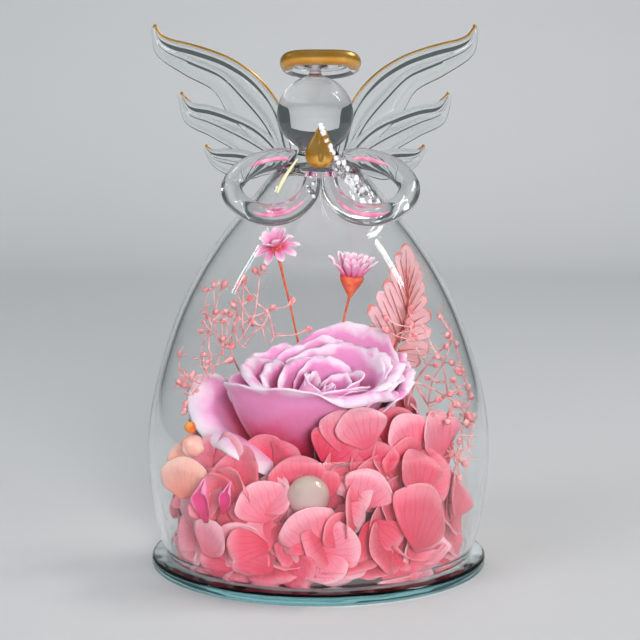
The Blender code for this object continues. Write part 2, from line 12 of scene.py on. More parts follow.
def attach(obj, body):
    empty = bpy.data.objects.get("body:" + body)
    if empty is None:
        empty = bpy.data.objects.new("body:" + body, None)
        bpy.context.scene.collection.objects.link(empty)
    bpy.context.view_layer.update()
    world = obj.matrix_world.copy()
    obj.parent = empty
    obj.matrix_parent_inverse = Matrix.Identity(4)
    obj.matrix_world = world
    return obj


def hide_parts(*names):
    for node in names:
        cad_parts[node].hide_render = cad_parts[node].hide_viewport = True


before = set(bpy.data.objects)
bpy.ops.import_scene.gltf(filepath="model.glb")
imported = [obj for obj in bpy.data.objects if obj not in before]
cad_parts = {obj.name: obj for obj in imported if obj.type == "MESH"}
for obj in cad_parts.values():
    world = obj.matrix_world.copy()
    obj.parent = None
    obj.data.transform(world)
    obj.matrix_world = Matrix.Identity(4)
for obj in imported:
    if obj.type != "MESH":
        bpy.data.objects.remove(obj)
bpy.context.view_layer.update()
mm = 0.001
print("frame loaded:", len(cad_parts), "nodes")

# Camera, floor and lamps, in metres
cameraView = {"target": (0.0, 0.0, 0.0668), "distance": 0.600, "elevation": 9.0, "lens": 125.0,
              "shiftX": 0.0022}
studio = {"floorDrop": 0.0002, "floorWidth": 0.76, "floorNear": 0.80, "floorColour": (0.66, 0.67, 0.68),
          "wallDistance": 0.72, "wallHeight": 0.30, "bendRadius": 0.15, "bendSteps": 12,
          "worldColour": (0.08, 0.095, 0.10), "worldStrength": 1.0}
softLamps = ("fill", "front", "wall")  # these leave no spot on the glass
lamps = {  # place, aimed at, size across (or width and height), watts, colour
    "key": ((0.38, 0.18, 0.56), (0.0, 0.0, 0.05), 0.14, 0.80, (1.0, 0.97, 0.93)),
    "fill": ((-0.55, -0.45, 0.45), (0.0, 0.0, 0.05), 0.45, 1.9, (0.95, 0.97, 1.0)),
    "front": ((0.16, -0.80, 0.20), (0.0, 0.0, 0.04), 0.24, 6.0, (1.0, 0.98, 0.97)),
    "wall": ((0.0, 0.20, 0.9), (0.0, 0.70, 0.15), 0.50, 3.2, (0.97, 0.98, 1.0)),
    "strip": ((0.48, 0.04, 0.54), (0.0, 0.0, 0.07), (0.030, 0.30), 0.45, (1.0, 0.98, 0.96)),
    "thinStrip": ((-0.50, 0.02, 0.46), (0.0, 0.0, 0.07), (0.014, 0.16), 0.10, (0.92, 1.0, 1.0)),
}


def placeCamera():
    tilt = math.radians(cameraView["elevation"])
    away = Vector((0, -math.cos(tilt), math.sin(tilt))) * cameraView["distance"]
    data = bpy.data.cameras.new("camera")
    data.lens = cameraView["lens"]
    data.shift_x = cameraView["shiftX"]
    camera = bpy.data.objects.new("camera", data)
    camera.location = Vector(cameraView["target"]) + away
    camera.rotation_euler = (math.pi / 2 - tilt, 0, 0)
    bpy.context.scene.collection.objects.link(camera)
    bpy.context.scene.camera = camera


def placeLamps():
    for name, (place, aim, size, watts, colour) in lamps.items():
        data = bpy.data.lights.new(name, "AREA")
        if isinstance(size, tuple):
            data.shape, data.size, data.size_y = "RECTANGLE", size[0], size[1]
        else:
            data.shape, data.size = "DISK", size
        data.energy = watts
        data.color = colour
        lamp = bpy.data.objects.new(name, data)
        lamp.location = place
        if name in softLamps:
            lamp.visible_glossy = lamp.visible_transmission = False
        lamp.rotation_euler = (Vector(aim) - Vector(place)).to_track_quat("-Z", "Y").to_euler()
        bpy.context.scene.collection.objects.link(lamp)


def setWorld():
    world = bpy.data.worlds.new("studio")
    world.use_nodes = True
    ground = world.node_tree.nodes["Background"]
    ground.inputs["Color"].default_value = (*studio["worldColour"], 1)
    ground.inputs["Strength"].default_value = studio["worldStrength"]
    bpy.context.scene.world = world


def newMaterial(name, colour=(0.8, 0.8, 0.8), roughness=0.5, **values):
    # the named sockets of the shader are set from the values, "Sheen_Weight" for Sheen Weight
    material = bpy.data.materials.new(name)
    material.use_nodes = True
    shader = material.node_tree.nodes["Principled BSDF"]
    shader.inputs["Base Color"].default_value = (*colour, 1)
    shader.inputs["Roughness"].default_value = roughness
    for key, value in values.items():
        shader.inputs[key.replace("_", " ")].default_value = value
    return material


def buildSweep():
    # a floor that bends up into a wall
    bm = bmesh.new()
    half, wall, bend = studio["floorWidth"] / 2, studio["wallDistance"], studio["bendRadius"]
    line = [bm.verts.new((-half, -studio["floorNear"], 0)), bm.verts.new((half, -studio["floorNear"], 0))]
    edge = bm.edges.new(line)
    corner = [math.pi / 2 * k / studio["bendSteps"] for k in range(studio["bendSteps"] + 1)]
    path = [(wall - bend + bend * math.sin(a), bend - bend * math.cos(a)) for a in corner]
    path.append((wall, studio["wallHeight"]))
    for y, z in path:
        made = bmesh.ops.extrude_edge_only(bm, edges=[edge])["geom"]
        edge = next(item for item in made if isinstance(item, bmesh.types.BMEdge)
                    and all(vert in made for vert in item.verts))
        for vert in edge.verts:
            vert.co.y, vert.co.z = y, z
    bmesh.ops.translate(bm, vec=(0, 0, -studio["floorDrop"]), verts=bm.verts)  # a hair below the glass disc
    mesh = bpy.data.meshes.new("floor")
    bm.to_mesh(mesh)
    bm.free()
    mesh.shade_smooth()
    mesh.materials.append(newMaterial("floor", studio["floorColour"], 0.75))
    floor = bpy.data.objects.new("floor", mesh)
    bpy.context.scene.collection.objects.link(floor)


def setLook():
    scene = bpy.context.scene
    scene.view_settings.view_transform = "Standard"
    scene.view_settings.exposure = 0.0
    scene.cycles.max_bounces = 20
    scene.cycles.transmission_bounces = 16
    scene.cycles.transparent_max_bounces = 16
    scene.cycles.glossy_bounces = 8


placeCamera()
setWorld()
placeLamps()
buildSweep()
setLook()
print("camera, lamps and floor set")


# Helpers for meshes
def finishPiece(name, bm, material, nodes=(), thickness=0.0, smoothAngle=None):
    # scales the mesh to metres, links it, hangs it on the root body, and hides the parts it stands for
    if not thickness:
        bmesh.ops.recalc_face_normals(bm, faces=bm.faces)
    bmesh.ops.scale(bm, vec=(mm, mm, mm), verts=bm.verts)
    mesh = bpy.data.meshes.new(name)
    bm.to_mesh(mesh)
    bm.free()
    mesh.materials.append(material)
    mesh.shade_smooth()
    if smoothAngle is not None:
        mesh.set_sharp_from_angle(angle=math.radians(smoothAngle))
    piece = bpy.data.objects.new(name, mesh)
    bpy.context.scene.collection.objects.link(piece)
    if thickness:
        wall = piece.modifiers.new("thickness", "SOLIDIFY")
        wall.thickness = thickness * mm
        wall.offset = 0.0
        wall.use_even_offset = False
    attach(piece, "root")
    if nodes:
        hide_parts(*nodes)


def curvePoint(points, t):
    # a point at t from 0 to 1 along a smooth curve through the points
    spans = len(points) - 1
    place = min(max(t, 0.0), 1.0) * spans
    i = min(int(place), spans - 1)
    f = place - i
    p0, p1, p2, p3 = (Vector(points[min(max(j, 0), spans)]) for j in (i - 1, i, i + 1, i + 2))
    return 0.5 * (2 * p1 + (p2 - p0) * f + (2 * p0 - 5 * p1 + 4 * p2 - p3) * f * f
                  + (3 * p1 - p0 - 3 * p2 + p3) * f ** 3)


def curveValue(values, t):
    return curvePoint([(value, 0.0, 0.0) for value in values], t).x


def smoothStep(low, high, value):
    t = min(max((value - low) / (high - low), 0.0), 1.0)
    return t * t * (3 - 2 * t)


def turned(profile, segments):
    # spins a profile of (radius, height) that starts and ends on the axis
    bm = bmesh.new()
    verts = [bm.verts.new((radius, 0.0, height)) for radius, height in profile]
    edges = [bm.edges.new(pair) for pair in zip(verts, verts[1:])]
    bmesh.ops.spin(bm, geom=verts + edges, cent=(0, 0, 0), axis=(0, 0, 1), angle=math.tau,
                   steps=segments, use_merge=True)
    bmesh.ops.remove_doubles(bm, verts=bm.verts, dist=0.0005)
    bmesh.ops.recalc_face_normals(bm, faces=bm.faces)
    return bm


def growTube(bm, path, radii, sides=8, stations=12, flat=1.0):
    # draws a disc out along a smooth path, turning with it, and closes both ends
    ring = bmesh.ops.create_circle(bm, cap_ends=True, segments=sides, radius=1.0)["verts"]
    face = next(f for f in ring[0].link_faces if len(f.verts) == sides)
    places = [curvePoint(path, i / stations) for i in range(stations + 1)]
    widths = [curveValue(radii, i / stations) for i in range(stations + 1)]
    ahead = (places[1] - places[0]).normalized()
    turn = Vector((0, 0, 1)).rotation_difference(ahead).to_matrix()
    for vert in ring:
        vert.co.y *= flat
        vert.co = places[0] + widths[0] * (turn @ vert.co)
    start = list(face.edges)
    for i in range(1, stations + 1):
        onward = (places[min(i + 1, stations)] - places[i - 1]).normalized()
        step = ahead.rotation_difference(onward).to_matrix()
        face = bmesh.ops.extrude_discrete_faces(bm, faces=[face])["faces"][0]
        for vert in face.verts:
            vert.co = places[i] + step @ ((vert.co - places[i - 1]) * (widths[i] / widths[i - 1]))
        ahead = onward
    bmesh.ops.holes_fill(bm, edges=[edge for edge in start if edge.is_valid], sides=0)


def addBall(bm, centre, radius, ahead=None, long=1.0, detail=8):
    # a round bud, longer along its own direction
    turn = Matrix.Identity(3)
    if ahead:
        turn = Vector((0, 0, 1)).rotation_difference(ahead.normalized()).to_matrix()
    rings = max(detail // 2, 4)
    for vert in bmesh.ops.create_uvsphere(bm, u_segments=detail, v_segments=rings, radius=radius)["verts"]:
        vert.co.z *= long
        vert.co = Vector(centre) + turn @ vert.co


def moveAll(bm, matrix):
    bmesh.ops.transform(bm, matrix=matrix, verts=bm.verts)


def setDown(bm, degrees, axis, place):
    # leans a piece about its own origin, then moves it to its place
    lean = Matrix.Rotation(math.radians(degrees), 3, axis)
    bmesh.ops.rotate(bm, cent=(0, 0, 0), matrix=lean, verts=bm.verts)
    bmesh.ops.translate(bm, vec=place, verts=bm.verts)


def joinMeshes(target, part):
    # adds one bmesh to another and frees it
    mesh = bpy.data.meshes.new("part")
    part.to_mesh(mesh)
    part.free()
    target.from_mesh(mesh)
    bpy.data.meshes.remove(mesh)


# Helpers for materials
def addNode(tree, kind, **values):
    node = tree.nodes.new(kind)
    for key, value in values.items():
        setattr(node, key, value)
    return node


def mathNode(tree, operation, first, second=None):
    node = addNode(tree, "ShaderNodeMath", operation=operation)
    for socket, value in zip(node.inputs, (first, second)):
        if value is None:
            continue
        if isinstance(value, (int, float)):
            socket.default_value = value
        else:
            tree.links.new(value, socket)
    return node.outputs["Value"]


def mixColours(tree, factor, first, second):
    node = addNode(tree, "ShaderNodeMix", data_type="RGBA")
    for index, value in ((0, factor), (6, first), (7, second)):
        if isinstance(value, (int, float)):
            node.inputs[index].default_value = value
        elif isinstance(value, tuple):
            node.inputs[index].default_value = (*value, 1)
        else:
            tree.links.new(value, node.inputs[index])
    return node.outputs[2]


def rangeNode(tree, value, low, high, outLow=0.0, outHigh=1.0):
    node = addNode(tree, "ShaderNodeMapRange", interpolation_type="SMOOTHSTEP")
    tree.links.new(value, node.inputs["Value"])
    for key, number in (("From Min", low), ("From Max", high), ("To Min", outLow), ("To Max", outHigh)):
        if isinstance(number, (int, float)):
            node.inputs[key].default_value = number
        else:
            tree.links.new(number, node.inputs[key])
    return node.outputs["Result"]


def cloudNode(tree, scale, detail=2.0, where=None):
    # noise over the piece's own coordinates, or over the given ones
    cloud = addNode(tree, "ShaderNodeTexNoise")
    cloud.inputs["Scale"].default_value = scale
    cloud.inputs["Detail"].default_value = detail
    tree.links.new(where or addNode(tree, "ShaderNodeTexCoord").outputs["Object"], cloud.inputs["Vector"])
    return cloud.outputs["Fac"]


def addBump(tree, shader, height, strength, distance):
    bump = addNode(tree, "ShaderNodeBump")
    bump.inputs["Strength"].default_value = strength
    bump.inputs["Distance"].default_value = distance
    tree.links.new(height, bump.inputs["Height"])
    tree.links.new(bump.outputs["Normal"], shader.inputs["Normal"])


def makeGlass(name, tint, ior=1.47, depthColour=None, depthDensity=0.0, ripple=0.0, rippleScale=30.0):
    # clear glass that lets the lamps through to what is behind it
    material = newMaterial(name, tint, 0.0, IOR=ior, Transmission_Weight=1.0)
    tree = material.node_tree
    shader = tree.nodes["Principled BSDF"]
    output = tree.nodes["Material Output"]
    path = addNode(tree, "ShaderNodeLightPath")
    clear = addNode(tree, "ShaderNodeBsdfTransparent")
    clear.inputs["Color"].default_value = (*tint, 1)
    mix = addNode(tree, "ShaderNodeMixShader")
    tree.links.new(path.outputs["Is Shadow Ray"], mix.inputs[0])
    tree.links.new(shader.outputs["BSDF"], mix.inputs[1])
    tree.links.new(clear.outputs["BSDF"], mix.inputs[2])
    tree.links.new(mix.outputs["Shader"], output.inputs["Surface"])
    if depthColour:
        depth = addNode(tree, "ShaderNodeVolumeAbsorption")
        depth.inputs["Color"].default_value = (*depthColour, 1)
        depth.inputs["Density"].default_value = depthDensity
        tree.links.new(depth.outputs["Volume"], output.inputs["Volume"])
    if ripple:
        addBump(tree, shader, cloudNode(tree, rippleScale, 1.0), ripple, 0.001)
    return material


petalInputs = {"Foot": (0.8, 0.2, 0.4, 1), "Middle": (0.9, 0.4, 0.6, 1), "Lip": (1.0, 0.8, 0.9, 1),
               "Vein": (0.8, 0.2, 0.3, 1), "Vein Strength": 0.3, "Vein Count": 9.0, "Lip Start": 0.7,
               "Foot End": 0.54, "Mottle": 0.3}
petalOutputs = {"Colour": "NodeSocketColor", "Roughness": "NodeSocketFloat", "Height": "NodeSocketFloat"}


def makePetalGroup():
    # colour from the foot to the lip, mottling, and veins that fan out along the petal
    group = bpy.data.node_groups.new("petalTone", "ShaderNodeTree")
    for name, value in petalInputs.items():
        kind = "NodeSocketColor" if isinstance(value, tuple) else "NodeSocketFloat"
        group.interface.new_socket(name=name, in_out="INPUT", socket_type=kind).default_value = value
    for name, kind in petalOutputs.items():
        group.interface.new_socket(name=name, in_out="OUTPUT", socket_type=kind)
    given = addNode(group, "NodeGroupInput").outputs
    result = addNode(group, "NodeGroupOutput").inputs
    petal = addNode(group, "ShaderNodeUVMap", uv_map="petal").outputs["UV"]
    split = addNode(group, "ShaderNodeSeparateXYZ")
    group.links.new(petal, split.inputs[0])
    across, along = split.outputs["X"], split.outputs["Y"]

    def times(first, second):
        return mathNode(group, "MULTIPLY", first, second)

    def shiftedBy(value, cloud, share):
        return mathNode(group, "ADD", value, times(mathNode(group, "SUBTRACT", cloud, 0.5), share))

    def thinLines(turns, sharpness):
        wave = mathNode(group, "ABSOLUTE", mathNode(group, "COSINE", turns))
        return mathNode(group, "POWER", wave, sharpness)

    cloud = cloudNode(group, 160.0, 3.0)
    grain = cloudNode(group, 1500.0, 3.0)
    # the foot and lip colours meet the middle one softly, with a cloudy border
    cloudy = shiftedBy(along, cloud, 0.35)
    low = rangeNode(group, cloudy, mathNode(group, "SUBTRACT", given["Foot End"], 0.5), given["Foot End"])
    colour = mixColours(group, low, given["Foot"], given["Middle"])
    edges = mathNode(group, "MAXIMUM", rangeNode(group, across, 0.0, 0.08, 1.0, 0.0),
                     rangeNode(group, across, 0.92, 1.0))
    edges = times(times(edges, rangeNode(group, along, 0.25, 0.6)), 0.6)
    lip = mathNode(group, "MAXIMUM", rangeNode(group, cloudy, given["Lip Start"], 1.0), edges)
    colour = mixColours(group, lip, colour, given["Lip"])
    # veins: thin lines of constant place across the petal, bent by noise, with finer ones further up
    bent = shiftedBy(across, cloudNode(group, 3.2, 2.0, petal), 0.16)
    turns = times(times(bent, given["Vein Count"]), math.tau)
    finer = times(times(thinLines(times(turns, 2.0), 26.0), 0.55), rangeNode(group, along, 0.35, 0.6))
    veins = times(mathNode(group, "MAXIMUM", thinLines(turns, 22.0), finer), given["Vein Strength"])
    veins = times(veins, mathNode(group, "ADD", times(rangeNode(group, along, 0.95, 0.35), 0.75), 0.25))
    colour = mixColours(group, veins, colour, given["Vein"])
    blotch = times(rangeNode(group, cloud, 0.45, 0.75), given["Mottle"])
    group.links.new(mixColours(group, blotch, colour, given["Foot"]), result["Colour"])
    group.links.new(rangeNode(group, grain, 0.3, 0.7, 0.42, 0.62), result["Roughness"])
    group.links.new(mathNode(group, "SUBTRACT", times(grain, 0.5), times(veins, 0.9)), result["Height"])
    return group


def makePetal(name, foot, middle, lip, vein, changes):
    # the plain petal with some changes; the group has the petal's own inputs, the shader has the rest
    look = {**plainPetal, **changes, "Foot": (*foot, 1), "Middle": (*middle, 1), "Lip": (*lip, 1),
            "Vein": (*vein, 1)}
    bump = look.pop("bump")
    material = newMaterial(name, middle)
    tree = material.node_tree
    shader = tree.nodes["Principled BSDF"]
    tone = addNode(tree, "ShaderNodeGroup", node_tree=petalGroup)
    for key, value in look.items():
        (tone if key in tone.inputs else shader).inputs[key].default_value = value
    tree.links.new(tone.outputs["Colour"], shader.inputs["Base Color"])
    tree.links.new(tone.outputs["Roughness"], shader.inputs["Roughness"])
    addBump(tree, shader, tone.outputs["Height"], bump, 0.0004)
    return material


def makeSpeckled(name, base, other, scale, roughness, bump=0.3, distance=0.0003, **values):
    # two colours clouded together, with a fine bump
    material = newMaterial(name, base, roughness, **values)
    tree = material.node_tree
    shader = tree.nodes["Principled BSDF"]
    cloud = cloudNode(tree, scale, 4.0)
    colour = mixColours(tree, rangeNode(tree, cloud, 0.35, 0.65), base, other)
    tree.links.new(colour, shader.inputs["Base Color"])
    tree.links.new(rangeNode(tree, cloud, 0.3, 0.7, roughness - 0.08, roughness + 0.08),
                   shader.inputs["Roughness"])
    addBump(tree, shader, cloud, bump, distance)
    return material


petalGroup = makePetalGroup()
plainPetal = {"Vein Strength": 0.6, "Vein Count": 3.5, "Lip Start": 0.6, "Foot End": 0.54, "Mottle": 0.25,
              "bump": 0.3, "Subsurface Weight": 0.3, "Subsurface Radius": (1.0, 0.3, 0.3),
              "Subsurface Scale": 0.0015, "Sheen Weight": 0.2}
roseChanges = {"Vein Strength": 0.14, "Vein Count": 9.0, "Mottle": 0.10, "bump": 0.15,
               "Subsurface Weight": 0.22, "Subsurface Radius": (1.0, 0.3, 0.45), "Sheen Weight": 0.15}
clearGlass = makeGlass("clear_glass", (0.985, 0.995, 0.995), ripple=0.03, rippleScale=45.0)
wingGlass = makeGlass("wing_glass", (0.97, 0.99, 0.99), 1.5, (0.55, 0.80, 0.82), 25.0)
baseGlass = makeGlass("base_glass", (0.985, 0.998, 0.998), 1.5, (0.08, 0.78, 0.82), 13.0, ripple=0.12,
                      rippleScale=60.0)
grainGlass = makeGlass("grain_glass", (1.0, 1.0, 1.0), 1.6)
goldLustre = makeSpeckled("gold_lustre", (0.97, 0.55, 0.14), (0.86, 0.42, 0.06), 180.0, 0.38, 0.15, 0.0002,
                          Metallic=0.85, Coat_Weight=0.4, Coat_Roughness=0.12)
# milky white grains: partly frosted glass, partly painted highlights for the glints on the glass
frostedGlintGlass = makeSpeckled("glass_frit", (0.96, 0.96, 0.98), (0.86, 0.88, 0.92), 900.0, 0.14, 0.2, 0.0002,
                          Coat_Weight=0.8, Coat_Roughness=0.04, Specular_IOR_Level=0.8)
rosePetal = makePetal(
    "rose_petal", (0.87, 0.035, 0.13), (0.87, 0.33, 0.62), (0.96, 0.78, 0.92), (0.78, 0.12, 0.36),
    {**roseChanges, "Lip Start": 0.88, "Foot End": 0.80, "Sheen Roughness": 0.4, "Specular IOR Level": 0.45})
outerPetal = makePetal(
    "rose_petal_outer", (0.86, 0.03, 0.14), (0.87, 0.30, 0.60), (0.97, 0.84, 0.94), (0.78, 0.12, 0.36),
    {**roseChanges, "Lip Start": 0.70, "Foot End": 0.74})
coralPetal = makePetal(
    "hydrangea_petal", (0.70, 0.04, 0.09), (0.84, 0.095, 0.165), (0.92, 0.27, 0.35), (0.62, 0.03, 0.08), {})
palePetal = makePetal(
    "hydrangea_petal_pale", (0.84, 0.11, 0.18), (0.90, 0.24, 0.33), (0.95, 0.46, 0.54), (0.78, 0.12, 0.20),
    {"Vein Strength": 0.62, "Lip Start": 0.55, "Mottle": 0.2})
peachPetal = makePetal(
    "hydrangea_petal_peach", (0.82, 0.20, 0.14), (0.89, 0.36, 0.29), (0.93, 0.55, 0.47), (0.78, 0.22, 0.15),
    {"Vein Strength": 0.5, "Lip Start": 0.5, "Subsurface Radius": (1.0, 0.4, 0.3)})
magentaPetal = makePetal(
    "rose_petal_loose", (0.50, 0.01, 0.09), (0.70, 0.03, 0.20), (0.90, 0.30, 0.52), (0.60, 0.02, 0.15),
    {"Vein Strength": 0.15, "Vein Count": 8.0, "Lip Start": 0.75, "Mottle": 0.15, "bump": 0.15,
     "Subsurface Weight": 0.2, "Subsurface Radius": (1.0, 0.3, 0.4), "Sheen Weight": 0.0, "Coat Weight": 0.3})
rayPetal = makePetal(
    "star_flower", (0.72, 0.07, 0.20), (0.90, 0.36, 0.58), (0.97, 0.78, 0.88), (0.78, 0.12, 0.34),
    {"Vein Strength": 0.5, "Vein Count": 3.0, "Lip Start": 0.5, "Mottle": 0.15, "Subsurface Weight": 0.2,
     "Subsurface Radius": (1.0, 0.35, 0.5), "Subsurface Scale": 0.001, "Sheen Weight": 0.0})
fernLeaf = makePetal(
    "fern", (0.96, 0.46, 0.43), (0.98, 0.62, 0.66), (0.74, 0.24, 0.22), (0.80, 0.24, 0.22),
    {"Vein Strength": 0.4, "Vein Count": 3.0, "Lip Start": 0.93, "Mottle": 0.2, "bump": 0.35,
     "Subsurface Weight": 0.25, "Subsurface Radius": (1.0, 0.4, 0.3), "Subsurface Scale": 0.0012,
     "Sheen Weight": 0.0})
twigPink = makeSpeckled("gypsophila", (0.93, 0.60, 0.58), (0.84, 0.30, 0.32), 500.0, 0.55)
budPink = makeSpeckled("gypsophila_bud", (0.80, 0.20, 0.22), (0.93, 0.55, 0.55), 700.0, 0.5,
                       Subsurface_Weight=0.2, Subsurface_Radius=(1.0, 0.3, 0.3), Subsurface_Scale=0.001)
budPeach = makeSpeckled("bud_peach", (0.90, 0.42, 0.34), (0.94, 0.66, 0.58), 260.0, 0.45,
                        Subsurface_Weight=0.2, Subsurface_Radius=(1.0, 0.4, 0.3), Subsurface_Scale=0.001)
budOrange = makeSpeckled("bud_orange", (0.84, 0.17, 0.02), (0.90, 0.34, 0.08), 400.0, 0.5)
stemRed = makeSpeckled("stem", (0.52, 0.08, 0.07), (0.70, 0.20, 0.17), 400.0, 0.5)
calyxRed = makeSpeckled("calyx", (0.80, 0.10, 0.05), (0.88, 0.24, 0.10), 500.0, 0.45)
foamBrown = makeSpeckled("foam", (0.42, 0.14, 0.12), (0.62, 0.24, 0.20), 900.0, 0.9, 0.8, 0.001)
corePink = makeSpeckled("glass_core_pink", (0.82, 0.20, 0.36), (0.90, 0.42, 0.56), 300.0, 0.25)
coreYellow = makeSpeckled("glass_core_yellow", (0.86, 0.82, 0.42), (0.92, 0.90, 0.66), 300.0, 0.25)


# face is the pearl's own colour; rim is painted shade with a painted reflection of the pink flowers round it
pearlTones = {"face": (0.53, 0.38, 0.36), "rim": (0.42, 0.20, 0.22), "cloud": (0.54, 0.50, 0.36)}


def makePearl():
    # painted shade and a painted pink reflection: darker and rosier towards its rim as it turns from view,
    # with faint yellow clouds
    material = newMaterial("pearl", pearlTones["face"], 0.22, Coat_Weight=0.5, Coat_Roughness=0.06,
                           Specular_IOR_Level=0.6)
    tree = material.node_tree
    # the painted shade and pink reflection grow towards the rim, by the angle to the view
    facing = addNode(tree, "ShaderNodeLayerWeight")
    facing.inputs["Blend"].default_value = 0.45
    tint = mixColours(tree, facing.outputs["Facing"], pearlTones["face"], pearlTones["rim"])
    clouds = rangeNode(tree, cloudNode(tree, 120.0), 0.4, 0.7, 0.0, 0.6)
    tint = mixColours(tree, clouds, tint, pearlTones["cloud"])
    tree.links.new(tint, tree.nodes["Principled BSDF"].inputs["Base Color"])
    return material


pearlLustre = makePearl()
print("materials ready")

# The blown figure: skirt, neck, head and the halo's stem are one fused body
figure = {
    "outline": [(41.7, 3.5), (42.6, 6.0), (44.6, 14.0), (46.1, 26.0), (45.9, 39.0), (43.2, 53.0),
                (38.3, 67.9), (32.7, 79.5), (26.0, 90.0), (18.6, 99.1), (12.6, 106.2), (8.2, 109.6),
                (5.6, 111.6)],
    "wall": 1.7, "innerEnd": 0.86, "stations": 90, "segments": 128,
    "rimBead": 1.15, "neckRadius": 5.1, "neckHeight": 112.7,
    "headCentre": (-0.9, 122.3), "headRadius": 10.2, "headFoot": 5.4, "stemEnd": 2.4, "stemWaist": 1.5,
    "stemTop": 134.7,
}


def outlineAt(t):
    place = curvePoint([(radius, 0, height) for radius, height in figure["outline"]], t)
    return place.x, place.z


def innerProfile():
    inside = []
    for i in range(figure["stations"] + 1):
        t = figure["innerEnd"] * i / figure["stations"]
        radius, height = outlineAt(t)
        ahead = Vector(outlineAt(t + 0.005)) - Vector(outlineAt(max(t - 0.005, 0.0)))
        ahead.normalize()
        inside.append((radius - figure["wall"] * ahead.y, height + figure["wall"] * ahead.x))
    return inside


def innerRadius(height):
    # the room inside the skirt at a height
    if height <= insideLine[0][1]:
        return insideLine[0][0]
    for (r0, z0), (r1, z1) in zip(insideLine, insideLine[1:]):
        if z0 <= height <= z1:
            return r0 + (r1 - r0) * (height - z0) / max(z1 - z0, 1e-6)
    return 2.0


insideLine = innerProfile()


def buildFigure():
    f = figure
    outside = [outlineAt(i / f["stations"]) for i in range(f["stations"] + 1)]
    bead, floor = f["rimBead"], f["outline"][0][1]
    rimRadius = outside[0][0] - f["wall"] / 2
    rim = [(rimRadius + bead * math.cos(a), floor + bead + bead * math.sin(a))
           for a in (math.radians(180 + 18 * k) for k in range(0, 11))]
    inside = [point for point in insideLine if point[1] > floor + 2.2 * bead]
    outside = [point for point in outside if point[1] > floor + 2.2 * bead]
    topInside = inside[-1][1] + 1.6
    cap = [(0, topInside), (inside[-1][0] * 0.4, topInside - 0.15), (inside[-1][0] * 0.78, topInside - 0.7)]
    radius, centre = f["headRadius"], f["headCentre"][1]
    low, high = math.asin(f["headFoot"] / radius), math.asin(f["stemEnd"] / radius)
    head = [(radius * math.sin(a), centre - radius * math.cos(a))
            for a in (low + (math.pi - high - low) * k / 48 for k in range(49))]
    width, height = f["neckRadius"], f["neckHeight"]
    neck = [(width + 0.1, height - 0.4), (width, height), (width + 0.08, height + 0.5)]
    top, end, waist = f["stemTop"], f["stemEnd"], f["stemWaist"]
    crown = head[-1][1]
    stem = [(end * 0.80, crown + 0.35), (waist * 1.06, crown + 0.9), (waist, crown + 1.3),
            (waist * 1.2, top - 0.75), (end, top - 0.3), (end * 1.5, top), (0, top)]
    bm = turned(cap + list(reversed(inside)) + rim + outside + neck + head + stem, f["segments"])
    for vert in bm.verts:
        vert.co.x += f["headCentre"][0] * smoothStep(111.0, 118.0, vert.co.z)
        if vert.co.z > top - 0.3:
            vert.co.z -= vert.co.y * math.tan(math.radians(halo["tilt"]))
    finishPiece("glass_figure", bm, clearGlass, ("dome", "head", "halo_stem"))


# The halo: a thin web with a round rim, its front edge raised and gilt
halo = {"centre": (0.5, 0.0, 135.3), "ringRadius": 8.8, "tubeRadius": 1.9, "web": 1.0, "flatRadius": 4,
        "rimSteps": 16, "tilt": 16.0, "giltThickness": 0.06, "giltChord": -1.8, "squareness": 3.6}


def haloMatrix():
    return Matrix.Translation(halo["centre"]) @ Matrix.Rotation(math.radians(-halo["tilt"]), 4, "X")


def straightenFront(verts):
    # the front half of the ring is pressed nearly straight, like half a rounded square
    power = halo["squareness"]
    for vert in verts:
        radius = math.hypot(vert.co.x, vert.co.y)
        if vert.co.y < 0 and radius > 0.1:
            out = (abs(vert.co.x / radius) ** power + abs(vert.co.y / radius) ** power) ** (-1 / power)
            vert.co.x *= out
            vert.co.y *= out


def haloRing(grow):
    # the turned web and rim, grown by a skin, with the front pressed
    ring, tube, web = halo["ringRadius"], halo["tubeRadius"] - 0.02, halo["web"] / 2
    start = math.pi - math.asin(web / tube)
    rim = [(ring + (tube + grow) * math.cos(a), (tube + grow) * math.sin(a))
           for a in (start * (k / halo["rimSteps"] - 1) for k in range(2 * halo["rimSteps"] + 1))]
    flat = halo["flatRadius"]
    bm = turned([(0, -web - grow), (flat, -web - grow)] + rim + [(flat, web + grow), (0, web + grow)], 96)
    straightenFront(bm.verts)
    return bm


def buildHalo():
    bm = haloRing(0.0)
    moveAll(bm, haloMatrix())
    finishPiece("halo", bm, clearGlass, ("halo",))

    # the lustre is a skin over the front part of the rim and web, cut off along a chord
    bm = haloRing(halo["giltThickness"])
    bmesh.ops.bisect_plane(bm, geom=bm.verts[:] + bm.edges[:] + bm.faces[:], dist=0.0001,
                           plane_co=(0, halo["giltChord"], 0), plane_no=(0.05, 1, 0), clear_outer=True)
    moveAll(bm, haloMatrix())
    finishPiece("halo_gilt", bm, goldLustre, (), thickness=0.05)


